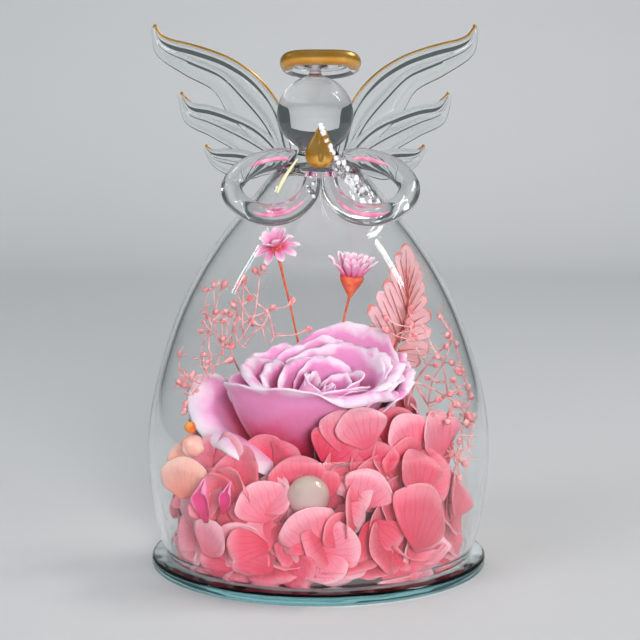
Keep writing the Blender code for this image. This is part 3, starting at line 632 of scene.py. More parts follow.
# The wings: each feather lies between an upper and a lower edge, from the shoulder to the tip
wing = {"y": 9.0, "step": 0.23, "half": 1.25, "stations": 44, "middle": -1.0, "giltRadius": 0.42,
        "knob": 0.56}
feathers = {  # left wing: edges as (x, z) from the wings' middle line, and the gilded share of the top
    "long": {"top": [(-5.6, 107.5), (-6.8, 114.5), (-9.6, 123.8), (-15.4, 131.4), (-23.2, 136.7),
                     (-32.0, 139.9), (-40.0, 142.0), (-42.9, 145.2)],
             "bottom": [(-8.6, 106.6), (-12.0, 110.0), (-17.5, 115.4), (-23.5, 121.8), (-27.4, 127.9),
                        (-35.2, 132.2), (-42.6, 137.6), (-43.9, 144.9)],
             "gilt": (0.16, 1.0)},
    "middle": {"top": [(-6.6, 107.0), (-10.0, 113.6), (-15.6, 118.9), (-22.4, 122.1), (-28.4, 124.1),
                       (-33.2, 125.0), (-35.9, 127.3)],
               "bottom": [(-8.8, 105.9), (-12.5, 107.4), (-18.0, 109.6), (-23.0, 112.6), (-28.4, 115.7),
                          (-35.0, 119.4), (-36.9, 126.6)],
               "gilt": (0.84, 1.0)},
    "short": {"top": [(-7.6, 106.5), (-12.5, 109.8), (-18.5, 111.9), (-23.5, 112.5), (-27.6, 112.2),
                      (-29.3, 113.1)],
              "bottom": [(-9.6, 105.7), (-13.5, 105.2), (-18.5, 103.9), (-23.4, 105.1), (-27.8, 107.9),
                         (-30.1, 112.2)],
              "gilt": (0.80, 1.0)},
}


def featherSection(width):
    # half thickness over the distance from the upper edge: bead, web, rib, web, thin lower edge
    k = min(1.0, width / 7.0)
    bead = [(0.0, 0.0), (0.10, 0.45), (0.36, 0.85), (0.85, 1.0), (1.3, 0.94), (1.9, 0.60), (2.5, 0.28),
            (3.0, 0.24)]
    rib = [(0.42, 0.25), (0.465, 0.56), (0.50, 0.76), (0.535, 0.56), (0.58, 0.25)]
    lower = [(1.3, 0.24), (0.8, 0.36), (0.25, 0.30), (0.05, 0.14), (0.0, 0.0)]
    return ([(d * k, h * k) for d, h in bead] + [(width * share, h * k) for share, h in rib]
            + [(width - d * k, h * k) for d, h in lower])


def featherBody(edges, depth, side):
    # two skins over one grid, welded along the edges, and closed at the shoulder
    count = len(featherSection(10.0))
    bm = bmesh.new()
    for front, share in ((1, 1.0), (-1, 0.8)):
        made = bmesh.ops.create_grid(bm, x_segments=wing["stations"], y_segments=count - 1, size=1.0)["verts"]
        for vert in made:
            row = round((vert.co.y + 1) / 2 * (count - 1))
            t = 1 - (1 - (vert.co.x + 1) / 2) ** 1.25
            upper = curvePoint([(x, 0, z) for x, z in edges["top"]], t)
            across = curvePoint([(x, 0, z) for x, z in edges["bottom"]], t) - upper
            width = max(across.length, 0.02)
            distance, thick = featherSection(width)[row]
            place = upper + across * (distance / width)
            lift = thick * wing["half"] * share * (1 - 0.25 * t)
            vert.co = Vector((wing["middle"] + side * place.x, depth - front * lift, place.z))
    bmesh.ops.remove_doubles(bm, verts=bm.verts, dist=0.012)
    bmesh.ops.holes_fill(bm, edges=[edge for edge in bm.edges if edge.is_boundary], sides=0)
    bmesh.ops.recalc_face_normals(bm, faces=bm.faces)
    return bm


def buildWing(name, side):
    blades = []
    gilt = bmesh.new()
    for layer, (key, edges) in enumerate(feathers.items()):
        depth = wing["y"] - wing["step"] * layer
        bm = featherBody(edges, depth, side)
        bmesh.ops.scale(bm, vec=(mm, mm, mm), verts=bm.verts)
        mesh = bpy.data.meshes.new(name + "_" + key)
        bm.to_mesh(mesh)
        bm.free()
        blade = bpy.data.objects.new(name + "_" + key, mesh)
        bpy.context.scene.collection.objects.link(blade)
        blades.append(blade)
        # a gold line along the upper edge that ends in a knob
        start, end = edges["gilt"]
        spots = [curvePoint([(x, 0, z) for x, z in edges["top"]], start + (end - start) * i / 14)
                 for i in range(15)]
        path = [(wing["middle"] + side * spot.x, depth - 0.1, spot.z) for spot in spots]
        size = 1.0 if key == "long" else 0.62
        growTube(gilt, path, [wing["giltRadius"] * size * k for k in (0.35, 1, 1, 1, 0.8)], 10, 42)
        addBall(gilt, path[-1], wing["knob"] * (1.0 if key == "long" else 0.8), detail=14)
    for blade in blades[1:]:
        cut = blades[0].modifiers.new("fuse", "BOOLEAN")
        cut.operation, cut.solver, cut.object = "UNION", "MANIFOLD", blade
    bpy.context.view_layer.update()
    fused = bpy.data.meshes.new_from_object(blades[0].evaluated_get(bpy.context.evaluated_depsgraph_get()))
    for blade in blades:
        bpy.data.objects.remove(blade, do_unlink=True)
    bm = bmesh.new()
    bm.from_mesh(fused)
    bmesh.ops.scale(bm, vec=(1 / mm, 1 / mm, 1 / mm), verts=bm.verts)
    finishPiece(name, bm, wingGlass, (name,), smoothAngle=40)
    finishPiece(name + "_gilt", gilt, goldLustre, ())


# The arms: clear rods looped forward, with a pink core
arms = {"radius": 2.9, "endRadii": [2.6, 2.2], "middle": 0.5, "coreRadius": 0.40,
        "path": [(-6.5, 0.5, 109.8), (-12.0, 0.5, 110.3), (-19.5, -2.5, 108.0), (-23.4, -8.0, 103.6),
                 (-21.0, -14.5, 99.6), (-15.0, -20.0, 97.6), (-8.2, -21.8, 98.6), (-3.2, -19.0, 102.6),
                 (-2.1, -15.4, 107.2)],
        "coreSpans": [(0.04, 0.24), (0.58, 0.84)]}


def armPath(side):
    return [(arms["middle"] + side * x, y, z) for x, y, z in arms["path"]]


def buildArm(name, side):
    bm = bmesh.new()
    growTube(bm, armPath(side), [arms["radius"]] * 6 + arms["endRadii"], sides=28, stations=72)
    finishPiece(name, bm, clearGlass, (name,), smoothAngle=50)
    bm = bmesh.new()
    for start, end in arms["coreSpans"]:
        path = [curvePoint(armPath(side), start + (end - start) * i / 12) for i in range(13)]
        growTube(bm, path, [arms["coreRadius"] * k for k in (0.2, 1, 1, 1, 0.2)], sides=10, stations=30)
    finishPiece(name + "_core", bm, corePink, ())


# Palms pressed together
hands = {"centre": (0.6, -14.7, 109.3), "height": 11.2, "radius": 3.7, "depth": 0.66, "lean": -4.0,
         "heights": [0.0, 0.12, 0.32, 0.58, 0.82, 1.0], "widths": [0.45, 0.86, 1.0, 0.76, 0.42, 0.12]}


def buildHands():
    steps = [i / 40 for i in range(41)]
    profile = [(hands["radius"] * curveValue(hands["widths"], t),
                hands["height"] * curveValue(hands["heights"], t)) for t in steps]
    bm = turned([(0, 0)] + profile + [(0, hands["height"])], 48)
    for vert in bm.verts:
        # a groove down the front where the two palms meet, and a curved outer side
        groove = math.exp(-(vert.co.x / 0.45) ** 2) * 0.35 * smoothStep(0.0, 3.0, vert.co.z)
        vert.co.y *= hands["depth"] * (1 - groove)
        vert.co.x *= 1.12 if vert.co.x < 0 else 0.94
        vert.co.x += 0.3 * smoothStep(4.0, 12.0, vert.co.z)
    setDown(bm, hands["lean"], "X", hands["centre"])
    finishPiece("praying_hands", bm, goldLustre, ("praying_hands",))


# Glass grains: crystals over the right shoulder, a row up the hands, a few on the left
grainBands = [  # path, how many, spread, smallest and largest radius, share painted milky white as glints, laid on the shoulder
    ([(0.4, -14.8, 120.6), (1.6, -15.8, 117.8), (3.4, -16.1, 114.2), (4.7, -15.8, 111.3)], 12, 0.14, 0.50,
     0.95, 0.9, False),
    ([(4.9, -15.4, 110.4), (7.4, -13.2, 107.2), (10.5, -11.8, 104.0)], 36, 1.5, 0.40, 0.90, 0.5, False),
    ([(9.0, -12.0, 104.6), (13.0, -11.0, 102.2), (17.0, -10.0, 100.2)], 34, 1.7, 0.30, 0.80, 0.5, True),
    ([(-1.4, -17.6, 107.0), (-2.4, -19.6, 104.5), (-2.0, -20.9, 102.6)], 13, 0.7, 0.35, 0.75, 0.5, False),
    ([(-11.0, -11.5, 104.4), (-13.0, -11.0, 102.8)], 5, 0.6, 0.25, 0.5, 0.5, True),
]
grainTrail = [  # a soft clear run under the crystals
    (3.6, -14.2, 110.6), (5.4, -13.4, 108.6), (7.6, -11.6, 106.6), (10.2, -10.8, 104.2), (12.6, -10.2, 101.9)]


def figureRadius(height):
    # the outside of the skirt at a height
    for i in range(200):
        radius, z = outlineAt(i / 200)
        if z >= height:
            return radius
    return figure["neckRadius"]


def buildGrains():
    pick = random.Random(11)
    clear, frostedGlints = bmesh.new(), bmesh.new()
    for path, count, spread, least, most, milkyGlintShare, lying in grainBands:
        for i in range(count):
            place = curvePoint(path, (i + pick.random()) / count)
            place += Vector((pick.uniform(-1, 1), pick.uniform(-1, 1) * 0.4, pick.uniform(-1, 1))) * spread
            if lying:
                out = Vector((place.x, place.y, 0)).normalized() * (figureRadius(place.z) + 0.25)
                place = Vector((out.x, out.y, place.z))
            # the milky ones are white partly as painted glints
            target = frostedGlints if pick.random() < milkyGlintShare else clear
            size = pick.uniform(least, most)
            made = bmesh.ops.create_icosphere(target, subdivisions=2, radius=size)["verts"]
            turn = Matrix.Rotation(pick.uniform(0, 6), 3, "X") @ Matrix.Rotation(pick.uniform(0, 6), 3, "Z")
            for vert in made:
                lump = 1 + 0.25 * noise.noise(vert.co * 2.2 + Vector((i, count, 0)))
                vert.co = place + turn @ Vector((vert.co.x * lump, vert.co.y * 0.8 * lump, vert.co.z * 1.1))
    growTube(clear, grainTrail, [0.9, 1.1, 1.2, 1.0, 0.7], 14, 24)
    for name, bm, material in (("glass_grains", clear, grainGlass), ("glass_frit", frostedGlints, frostedGlintGlass)):
        finishPiece(name, bm, material, (), smoothAngle=24)


streak = {"line": [(-5.6, 110.7), (-7.6, 108.1), (-9.6, 105.1), (-10.9, 102.3)],
          "radii": [0.25, 0.6, 0.75, 0.45]}


def buildStreak():
    # a pale yellow cane laid down the left shoulder
    bm = bmesh.new()
    path = [(x, -math.sqrt(max(figureRadius(z) ** 2 - x * x, 1.0)) - 0.3, z) for x, z in streak["line"]]
    growTube(bm, path, streak["radii"], 12, 20, 0.7)
    finishPiece("shoulder_streak", bm, coreYellow, ())


# The base disc: thick plate glass with a softly rippled edge
disc = {"radius": 45.7, "height": 3.2, "edge": 0.9, "ripple": 0.10, "segments": 160}


def buildDisc():
    r, h, e = disc["radius"] - 0.1, disc["height"] - 0.05, disc["edge"]
    edge = [(r - e + e * math.sin(a), e - e * math.cos(a)) for a in (math.pi / 2 * k / 5 for k in range(6))]
    top = [(radius, h - z) for radius, z in reversed(edge)]
    rings = [0.0, 12.0, 24.0, 34.0, 40.0]
    bm = turned([(x, 0) for x in rings] + edge + top + [(x, h) for x in reversed(rings)], disc["segments"])
    for vert in bm.verts:
        # the fire polish left a slow wave round the edge
        angle = math.atan2(vert.co.y, vert.co.x)
        flow = noise.noise(Vector((math.cos(angle) * 3, math.sin(angle) * 3, 0.4)))
        fine = noise.noise(Vector((math.cos(angle) * 11, math.sin(angle) * 11, 2.4)))
        rim = smoothStep(36.0, 45.0, Vector((vert.co.x, vert.co.y)).length)
        out = 1 + (flow * 0.002 + fine * 0.0012 - 0.001) * rim
        vert.co.x *= out
        vert.co.y *= out
        if vert.co.z > 0.5 * h:
            vert.co.z += (flow * disc["ripple"] + fine * disc["ripple"] - 0.08) * rim
    finishPiece("base_disc", bm, baseGlass, ("base_disc",))


buildFigure()
buildHalo()
buildWing("left_wing", 1)
buildWing("right_wing", -1)
buildArm("left_arm", 1)
buildArm("right_arm", -1)
buildHands()
buildGrains()
buildStreak()
buildDisc()
print("glass done")

# The rose: petals are patches of nested bowls; each shell, its angle round, and how its lip rolls
rose = {"origin": (-3.6, 2.5, 32.4), "tilt": 12.5, "count": 11, "firstShell": 1.2, "step": 0.72,
        "turn": 144.0, "lastAngle": -162.0, "heartShift": (7.2, -2.0, 0.0), "thickness": 0.34,
        "columns": 34, "rows": 30}
outerShell = rose["firstShell"] + rose["step"] * (rose["count"] - 1)
# by petal: how far up the edge reaches, and how far the lip rolls out, from one side to the other;
# the rolled length, the ruffle, and how much the petal leans out
petalShapes = {
    11: ([0.74, 0.68, 0.62, 0.64, 0.52], [60, 100, 150, 170, 130], 7.0, 1.0, 1.5),
    10: ([0.62, 0.80, 0.92, 0.86, 0.70], [70, 20, 10, 110, 60], 4.5, 1.6, 0.0),
    9: ([0.90, 0.98, 1.00, 1.00, 0.94], [20, 20, 50, 175, 150], 6.0, 1.1, 0.0),
    8: ([0.66, 0.72, 0.76, 0.78, 0.74], [60, 80, 110, 90, 90], 4.5, 1.6, 0.0),
    7: ([0.90, 0.98, 0.98, 0.94, 0.84], [30, 80, 120, 90, 60], 4.5, 1.6, 0.2),
    6: ([0.86, 0.96, 1.02, 0.96, 0.88], [60, 110, 130, 110, 70], 4.2, 1.5, 0.2),
    5: ([0.90, 0.98, 1.02, 0.98, 0.90], [20, 40, 80, 60, 40], 3.6, 1.3, 0.0),
    4: ([0.84, 0.92, 0.94, 0.92, 0.88], [60, 130, 60, 20, 30], 3.6, 1.1, 0.0),
    3: ([0.88, 0.96, 1.00, 0.96, 0.90], [40, 90, 120, 90, 50], 3.4, 1.2, 0.0),
    2: ([0.90, 0.96, 0.96, 0.94, 0.90], [20, 60, 60, 40, 40], 2.8, 0.9, 0.0),
    1: ([0.90, 0.98, 1.00, 0.96, 0.90], [30, 60, 70, 60, 40], 2.6, 0.8, 0.0),
}
morePetals = [  # shell, angle, half angle in degrees, reach, roll in degrees, rolled length, ruffle
    (0.85, 40, 62, 0.96, 50, 2.0, 0.6), (0.95, 160, 62, 0.98, 70, 2.4, 0.8),
    (1.05, -80, 62, 0.92, 60, 2.2, 0.7), (2.3, 90, 52, 0.98, 80, 2.8, 1.2),
    (3.0, -60, 50, 0.92, 90, 3.2, 1.2), (3.7, 170, 48, 0.94, 120, 3.6, 1.5),
    (4.5, 20, 46, 0.98, 70, 3.6, 1.5), (5.2, -130, 44, 0.93, 120, 4.0, 1.4),
    (6.0, 80, 42, 0.88, 90, 4.0, 1.7), (6.6, -20, 42, 0.92, 110, 4.4, 1.6),
    (7.4, 105, 38, 0.80, 80, 4.0, 1.8), (8.1, -8, 30, 0.84, 90, 5.0, 1.6),
    (8.6, 20, 24, 0.78, 60, 5.0, 1.6), (8.2, -55, 28, 0.66, 110, 5.0, 1.4),
]


def roseMatrix():
    return Matrix.Translation(rose["origin"]) @ Matrix.Rotation(math.radians(rose["tilt"]), 4, "X")


def bowlProfile(shell, t):
    # radius and height up the side of a bowl
    base = Vector((1.5 + 0.62 * shell, -0.62 * shell))
    belly = Vector((5.1 + 2.05 * shell, 4.0 - 0.50 * shell))
    throat = Vector((5.4 + 2.45 * shell, 13.0 + 1.25 * shell))
    lip = Vector((1.6 + 3.36 * shell, 19.0 + 0.95 * shell))
    s = 1 - t
    return s ** 3 * base + 3 * s * s * t * belly + 3 * s * t * t * throat + t ** 3 * lip


def petalPoint(shell, turn, halfAngle, u, t, shape, seed):
    edges, rolls, length, ruffle, lean = shape
    slow = noise.noise(Vector((u * 2.1, seed * 3.7, 0.3)))
    fine = noise.noise(Vector((u * 6.5, seed * 1.3, 4.1)))
    crimp = noise.noise(Vector((u * 1.3, t * 1.6, seed * 2.9)))
    place = (u + 1) / 2
    top = curveValue(edges, place) * (1 - 0.10 * u ** 4) + 0.03 * slow + 0.012 * fine
    spread = halfAngle * (0.52 + 0.48 * math.sin(math.pi * min(t, 0.8) / 1.45))
    angle = turn + u * spread
    roll = max(curveValue(rolls, place), 0.0) * (1 + 0.5 * noise.noise(Vector((u * 2.6, seed * 5.1, 1.7))))
    # the arc starts a lip's length below this petal's own edge
    side = 27.0 + shell
    bend = top - length / side
    if t * top <= bend:
        spot = bowlProfile(shell - 0.18 * u, t * top)
    else:
        start = bowlProfile(shell - 0.18 * u, bend)
        ahead = (start - bowlProfile(shell - 0.18 * u, bend - 0.02)).normalized()
        heading = math.atan2(ahead.y, ahead.x)
        part = (t * top - bend) / (top - bend)
        spot = start.copy()
        steps = 8
        for k in range(steps):
            bent = heading - math.radians(roll) * part * (k + 0.5) / steps
            spot += Vector((math.cos(bent), math.sin(bent))) * length * part / steps
    weight = smoothStep(0.35, 1.0, t)
    radius = spot.x + ruffle * weight * (0.9 * crimp + 0.5 * slow + 0.4 * fine * weight) + lean * t * t * 3.0
    height = spot.y + ruffle * weight * (0.7 * slow + 0.35 * fine)
    shift = Vector(rose["heartShift"]) * (1 - min(max(shell, 0) / outerShell, 1.0)) * max(height, 0.0) / 19.0
    return Vector((radius * math.cos(angle), radius * math.sin(angle), height)) + shift


def petalSheet(bm, columns, rows, placeOf):
    # a grid with its own map, across and along the petal, put in place point by point
    if not bm.loops.layers.uv.get("petal"):
        bm.loops.layers.uv.new("petal")
    made = bmesh.ops.create_grid(bm, x_segments=columns, y_segments=rows, size=1.0, calc_uvs=True)["verts"]
    for vert in made:
        vert.co = placeOf(vert.co.x, (vert.co.y + 1) / 2)
    return made


def buildRosePetal(name, shell, turn, halfAngle, shape, seed, nodes=(), material=None):
    bm = bmesh.new()
    petalSheet(bm, rose["columns"], rose["rows"],
               lambda u, t: petalPoint(shell, turn, halfAngle, u, t, shape, seed))
    moveAll(bm, roseMatrix())
    finishPiece(name, bm, material or rosePetal, nodes, thickness=rose["thickness"])


def buildRose():
    last = rose["count"] - 1
    for index in range(rose["count"]):
        shell = rose["firstShell"] + rose["step"] * index
        turn = math.radians(rose["lastAngle"] - rose["turn"] * (last - index))
        half = math.radians(76 - 1.1 * index) * (0.84 if index == last else 1.0)
        name = f"rose_petal_{index + 1}"
        buildRosePetal(name, shell, turn, half, petalShapes[index + 1], index + 1, (name,),
                       outerPetal if index == last else rosePetal)
    # more petals between them, the small ones round the heart
    for extra, (shell, angle, half, reach, roll, length, ruffle) in enumerate(morePetals, 12):
        shape = ([reach * k for k in (0.88, 0.97, 1.0, 0.97, 0.88)],
                 [roll * k for k in (0.4, 0.8, 1.0, 0.9, 0.5)], length, ruffle, 0.0)
        buildRosePetal(f"rose_petal_{extra}", shell, math.radians(angle), math.radians(half), shape, extra)


heart = {"turns": 2.3, "inner": 0.5, "pitch": 0.95, "height": 19.2, "columns": 110, "rows": 22}


def buildHeart():
    # one small sheet wound round itself
    def wound(u, t):
        turn = (u + 1) / 2 * heart["turns"]
        angle = math.tau * turn
        pinch = 1.0 + 0.35 * math.sin(math.pi * t) - 0.30 * smoothStep(0.75, 1.0, t)
        radius = (heart["inner"] + heart["pitch"] * turn) * pinch
        height = 0.6 + (heart["height"] - 2.2 + 1.1 * math.sin(angle * 1.5) - 0.5 * turn) * t
        shift = Vector(rose["heartShift"]) * height / 19.0
        return Vector((radius * math.cos(angle), radius * math.sin(angle), height)) + shift
    bm = bmesh.new()
    petalSheet(bm, heart["columns"], heart["rows"], wound)
    moveAll(bm, roseMatrix())
    finishPiece("rose_heart", bm, rosePetal, ("rose_heart",), thickness=0.3)


buildRose()
buildHeart()
print("rose done")

# Hydrangea: angle round the dome, height, distance from the axis, turn, petal length, lean, and which tint
floretPlaces = [
    (1, 12.2, 39.4, 25, 13.2, -4, "pale"), (33, 12.6, 36.4, 8, 12.6, 3, "coral"),
    (46, 26.2, 33.6, 15, 13.4, 4, "coral"), (22, 27.0, 27.2, 45, 12.4, 0, "coral"),
    (-27, 28.0, 27.2, 45, 12.4, 0, "coral"), (-33, 13.6, 36.4, 12, 12.6, 3, "coral"),
    (-62, 13.4, 38.2, 40, 12.4, 3, "pale"), (-58, 30.0, 34.4, 45, 11.4, 5, "pale"),
    (74, 35.0, 31.2, 45, 13.2, 5, "pale"), (76, 13.4, 38.2, 30, 12.6, 3, "coral"),
    (116, 13.4, 36.8, 15, 12.6, 3, "coral"), (156, 13.4, 38.2, 40, 12.8, 3, "pale"),
    (-162, 13.4, 36.8, 10, 12.8, 3, "coral"), (-110, 13.4, 37.6, 35, 12.8, 3, "coral"),
    (-104, 30.5, 33.2, 45, 12.0, 5, "peach"), (124, 32.0, 33.2, 25, 12.6, 5, "pale"),
    (178, 32.0, 33.2, 35, 12.8, 5, "coral"),
]
floret = {"columns": 12, "rows": 14, "thickness": 0.22, "glassRoom": 0.7, "inset": 1.8, "bead": 0.62,
          "backLength": 4.0, "stalkFoot": 24, "stalkHeight": 14, "stalkRadii": [0.5, 0.45, 0.4, 0.35]}
tints = {"pale": palePetal, "coral": coralPetal, "peach": peachPetal, "magenta": magentaPetal}


def keepInside(place, margin):
    # a petal that meets the disc bends outwards on it, and one that meets the glass lies against it
    low = disc["height"] + 0.5
    out = Vector((place.x, place.y))
    if place.z < low:
        short = low - place.z
        place = Vector((place.x, place.y, low + 0.10 * short))
        out = out * (1 + 0.45 * short / max(out.length, 1.0))
    room = innerRadius(place.z) - margin
    if out.length > room:
        out = out * (room / out.length)
    return Vector((out.x, out.y, place.z))


def floretPetal(bm, length, width, curl, cup, roll, seed, columns, rows):
    # a broad round petal along +X from the centre, its face to +Z; the tip may roll back
    def place(u, t):
        along = length * (0.06 + 0.94 * t * (1 - 0.30 * u * u))
        half = length * width * (0.06 + 0.53 * math.sin(math.pi * 0.62 * t) ** 0.9)
        if width < 0.6:
            half *= math.sqrt(1 - (max(t - 0.6, 0.0) / 0.41) ** 2)  # a narrow one ends in a rounded tip
        wave = noise.noise(Vector((u * 1.6, t * 2.2, seed)))
        fine = noise.noise(Vector((u * 4.5, t * 4.5, seed + 9.0)))
        tip = smoothStep(0.55, 1.0, t)
        lift = cup * length * t * t + curl * length * u * u * t - roll * length * 0.35 * tip * tip
        lift += length * (0.07 * wave + 0.022 * fine) * t + 0.03 * length * u
        return Vector((along - (0.15 * abs(curl) + 0.12 * abs(roll)) * length * t * t, half * u, lift))
    return petalSheet(bm, columns, rows, place)


def floretBody(seed, length, columns, rows, sizes=(1.0, 1.0, 1.0, 1.0)):
    # four petals in a cross, each with its own bend
    pick = random.Random(seed)
    bm = bmesh.new()
    for quarter in range(4):
        angle = quarter * math.pi / 2 + pick.uniform(-0.16, 0.16)
        made = floretPetal(bm, length * sizes[quarter] * pick.uniform(0.88, 1.04), pick.uniform(0.92, 1.08),
                           pick.uniform(-0.28, 0.12), pick.uniform(-0.02, 0.42), pick.uniform(-0.2, 0.9),
                           seed * 7.3 + quarter, columns, rows)
        bmesh.ops.transform(bm, matrix=Matrix.Rotation(angle, 4, "Z"), verts=made)
    return bm


def placeFloret(bm, angle, height, distance, turn, lean, yaw=0.0):
    # turns the floret on its face, stands it up, and moves it out from the axis
    matrix = (Matrix.Translation((0, 0, height)) @ Matrix.Rotation(math.radians(angle), 4, "Z")
              @ Matrix.Translation((0, -distance, 0)) @ Matrix.Rotation(math.radians(yaw), 4, "Z")
              @ Matrix.Rotation(math.radians(90 - lean), 4, "X")
              @ Matrix.Rotation(math.radians(turn), 4, "Z"))
    moveAll(bm, matrix)
    return matrix


def buildFlorets():
    for number, (angle, height, distance, turn, length, lean, tint) in enumerate(floretPlaces, 1):
        pick = random.Random(number * 3)
        bm = floretBody(number, length, floret["columns"], floret["rows"],
                        (0.82, 1.08, 0.80, 0.72) if number == 1 else (1.0, 1.0, 1.0, 1.0))
        matrix = placeFloret(bm, angle, height, distance - floret["inset"], turn,
                             lean + pick.uniform(0, 20), pick.uniform(-18, 18))
        for vert in bm.verts:
            vert.co = keepInside(vert.co, floret["glassRoom"])
        name = f"hydrangea_floret_{number}"
        finishPiece(name, bm, tints[tint], (name,), thickness=floret["thickness"])
        # its bead and stalk
        bm = bmesh.new()
        centre = matrix @ Vector((0, 0, 0.3))
        back = matrix @ Vector((0, 0, -floret["backLength"]))
        foot = Vector((back.x, back.y, 0)).normalized() * floret["stalkFoot"]
        foot.z = min(height, floret["stalkHeight"])
        growTube(bm, [foot, (foot + back) / 2, back, matrix.to_translation()], floret["stalkRadii"], 8, 8)
        addBall(bm, centre, floret["bead"], matrix.to_3x3() @ Vector((0, 0, 1)), 0.8, 10)
        finishPiece(name + "_bead", bm, stemRed, ())


# Petals between and behind the florets, over the foam
mound = {"count": 200, "skirt": 30, "seed": 5, "length": (9.0, 13.5), "low": 5.0, "goldenAngle": 137.5,
         "peachSide": (-125, -62), "skirtHeight": (6.5, 10.5), "skirtDistance": (29, 31.5), "forward": 0.8,
         "tops": [(-180, 40), (-130, 38), (-85, 29), (-35, 27), (0, 32), (35, 38), (75, 46), (120, 42),
                  (180, 40)],
         "radii": [(4, 37.5), (12, 37.5), (20, 35.0), (28, 30.5), (36, 26.0), (48, 24.0)]}
singlePetals = [  # angle, height, distance, turn, length, width, lean, yaw, cup, curl, roll, tint
    (37, 10.4, 39.5, 62, 19.5, 1.02, 4, 8, 0.0, -0.10, 0.1, "coral"),
    (36, 9.6, 37.5, 6, 15.0, 0.80, 42, 10, 0.10, 0.20, -0.2, "pale"),
    (44, 23.0, 36.0, 82, 15.0, 1.0, 12, 6, 0.10, 0.18, 0.4, "coral"),
    (17, 22.0, 32.5, 62, 13.0, 0.9, 8, -12, 0.30, 0.10, 0.9, "pale"),
    (20, 20.0, 34.5, -60, 13.0, 1.0, 0, 4, 0.12, 0.10, 0.3, "coral"),
    (-8, 24.0, 29.0, 100, 13.0, 1.0, 4, 0, 0.15, 0.15, 0.5, "coral"),
    (-20, 25.0, 31.0, 225, 15.0, 0.95, 4, -8, 0.10, 0.10, 0.3, "coral"),
    (-22, 24.0, 31.0, 285, 14.0, 1.0, -4, -4, 0.10, 0.10, 0.3, "pale"),
    (-34, 20.0, 33.0, 108, 19.0, 0.80, 6, -8, -0.05, 0.20, 0.2, "coral"),
    (-46, 8.4, 39.5, 70, 11.5, 0.98, 2, -6, 0.06, 0.10, 0.2, "pale"),
    (-30, 8.0, 38.0, 170, 14.0, 0.9, 35, -4, 0.06, 0.10, 0.1, "coral"),
    (-16, 8.0, 38.5, 175, 13.0, 0.8, 50, 0, 0.10, 0.16, 0.4, "coral"),
    (-60, 21.5, 39.4, 95, 12.5, 0.95, 2, 30, 0.05, 0.05, 0.3, "peach"),
    (-64, 29.5, 38.5, 115, 8.0, 0.8, 6, 25, 0.10, 0.08, 0.5, "peach"),
    (68, 30.0, 34.0, 95, 15.5, 1.0, 10, -16, 0.12, 0.15, 0.3, "pale"),
    (52, 33.0, 31.5, 110, 13.5, 0.9, 14, -20, 0.14, 0.15, 0.4, "pale"),
    (64, 16.0, 38.5, 55, 14.0, 1.0, 6, 0, 0.10, 0.16, 0.4, "coral"),
    (8, 31.0, 25.0, 30, 12.5, 0.95, 10, 0, 0.16, 0.10, 0.5, "coral"),
    (-44, 17.5, 40.6, 96, 13.0, 0.34, 2, 0, 0.05, 0.18, 0.1, "magenta"),
    (-37, 20.5, 39.8, 76, 10.5, 0.25, 2, 10, 0.05, 0.18, 0.1, "magenta"),
    (12, 35.5, 27.5, 80, 13.0, 0.95, 14, 0, 0.14, 0.12, 0.5, "pale"),
    (25, 36.5, 29.5, 105, 13.0, 0.95, 14, -10, 0.14, 0.12, 0.5, "pale"),
    (2, 33.0, 27.0, 60, 12.0, 0.95, 12, 0, 0.14, 0.12, 0.6, "coral"),
]


def between(table, value):
    # straight lines between the pairs of a table
    for (a, first), (b, second) in zip(table, table[1:]):
        if value <= b:
            return first + (second - first) * max(value - a, 0.0) / (b - a)
    return table[-1][1]


def buildMound():
    pick = random.Random(mound["seed"])
    batches = {key: bmesh.new() for key in tints}
    for number in range(mound["count"]):
        angle = (mound["goldenAngle"] * number + pick.uniform(-10, 10) + 180) % 360 - 180
        height = mound["low"] + (between(mound["tops"], angle) - mound["low"] - 5) * pick.random() ** 0.85
        distance = between(mound["radii"], height) - pick.uniform(0, 3.5)
        bm = bmesh.new()
        floretPetal(bm, pick.uniform(*mound["length"]), pick.uniform(0.85, 1.1), pick.uniform(-0.35, 0.25),
                    pick.uniform(-0.1, 0.35), pick.uniform(-0.3, 1.0), number * 3.1, 9, 10)
        placeFloret(bm, angle, height, distance, pick.uniform(0, 360), pick.uniform(-8, 22) + height * 0.4,
                    pick.uniform(-35, 35))
        for vert in bm.verts:
            vert.co = keepInside(vert.co, floret["glassRoom"] + 0.8)
        chance = pick.random()
        key = "pale" if chance > 0.62 else "coral"
        if mound["peachSide"][0] < angle < mound["peachSide"][1] and chance > 0.72:
            key = "peach"
        joinMeshes(batches[key], bm)
    for number in range(mound["skirt"]):
        # these point outwards and lie on the disc
        bm = bmesh.new()
        floretPetal(bm, pick.uniform(11, 14), pick.uniform(0.9, 1.15), pick.uniform(-0.15, 0.3),
                    pick.uniform(-0.1, 0.2), pick.uniform(-0.3, 0.5), 200 + number * 2.3, 9, 10)
        placeFloret(bm, number * 360 / mound["skirt"] + pick.uniform(-5, 5),
                    pick.uniform(*mound["skirtHeight"]), pick.uniform(*mound["skirtDistance"]),
                    pick.uniform(-125, -55), pick.uniform(52, 80))
        for vert in bm.verts:
            vert.co = keepInside(vert.co, floret["glassRoom"] + 0.4)
        joinMeshes(batches["coral" if number % 3 else "pale"], bm)
    for number, single in enumerate(singlePetals):
        angle, height, distance, turn, length, width, lean, yaw, cup, curl, roll, tint = single
        bm = bmesh.new()
        floretPetal(bm, length, width, curl, cup, roll, 50 + number * 1.7, 14, 16)
        placeFloret(bm, angle, height, distance + mound["forward"], turn, lean, yaw)
        for vert in bm.verts:
            vert.co = keepInside(vert.co, floret["glassRoom"] * 0.5)
        joinMeshes(batches[tint], bm)
    for key, bm in batches.items():
        finishPiece("loose_petals_" + key, bm, tints[key], (), thickness=0.2)


buildFlorets()
buildMound()
print("hydrangea done")

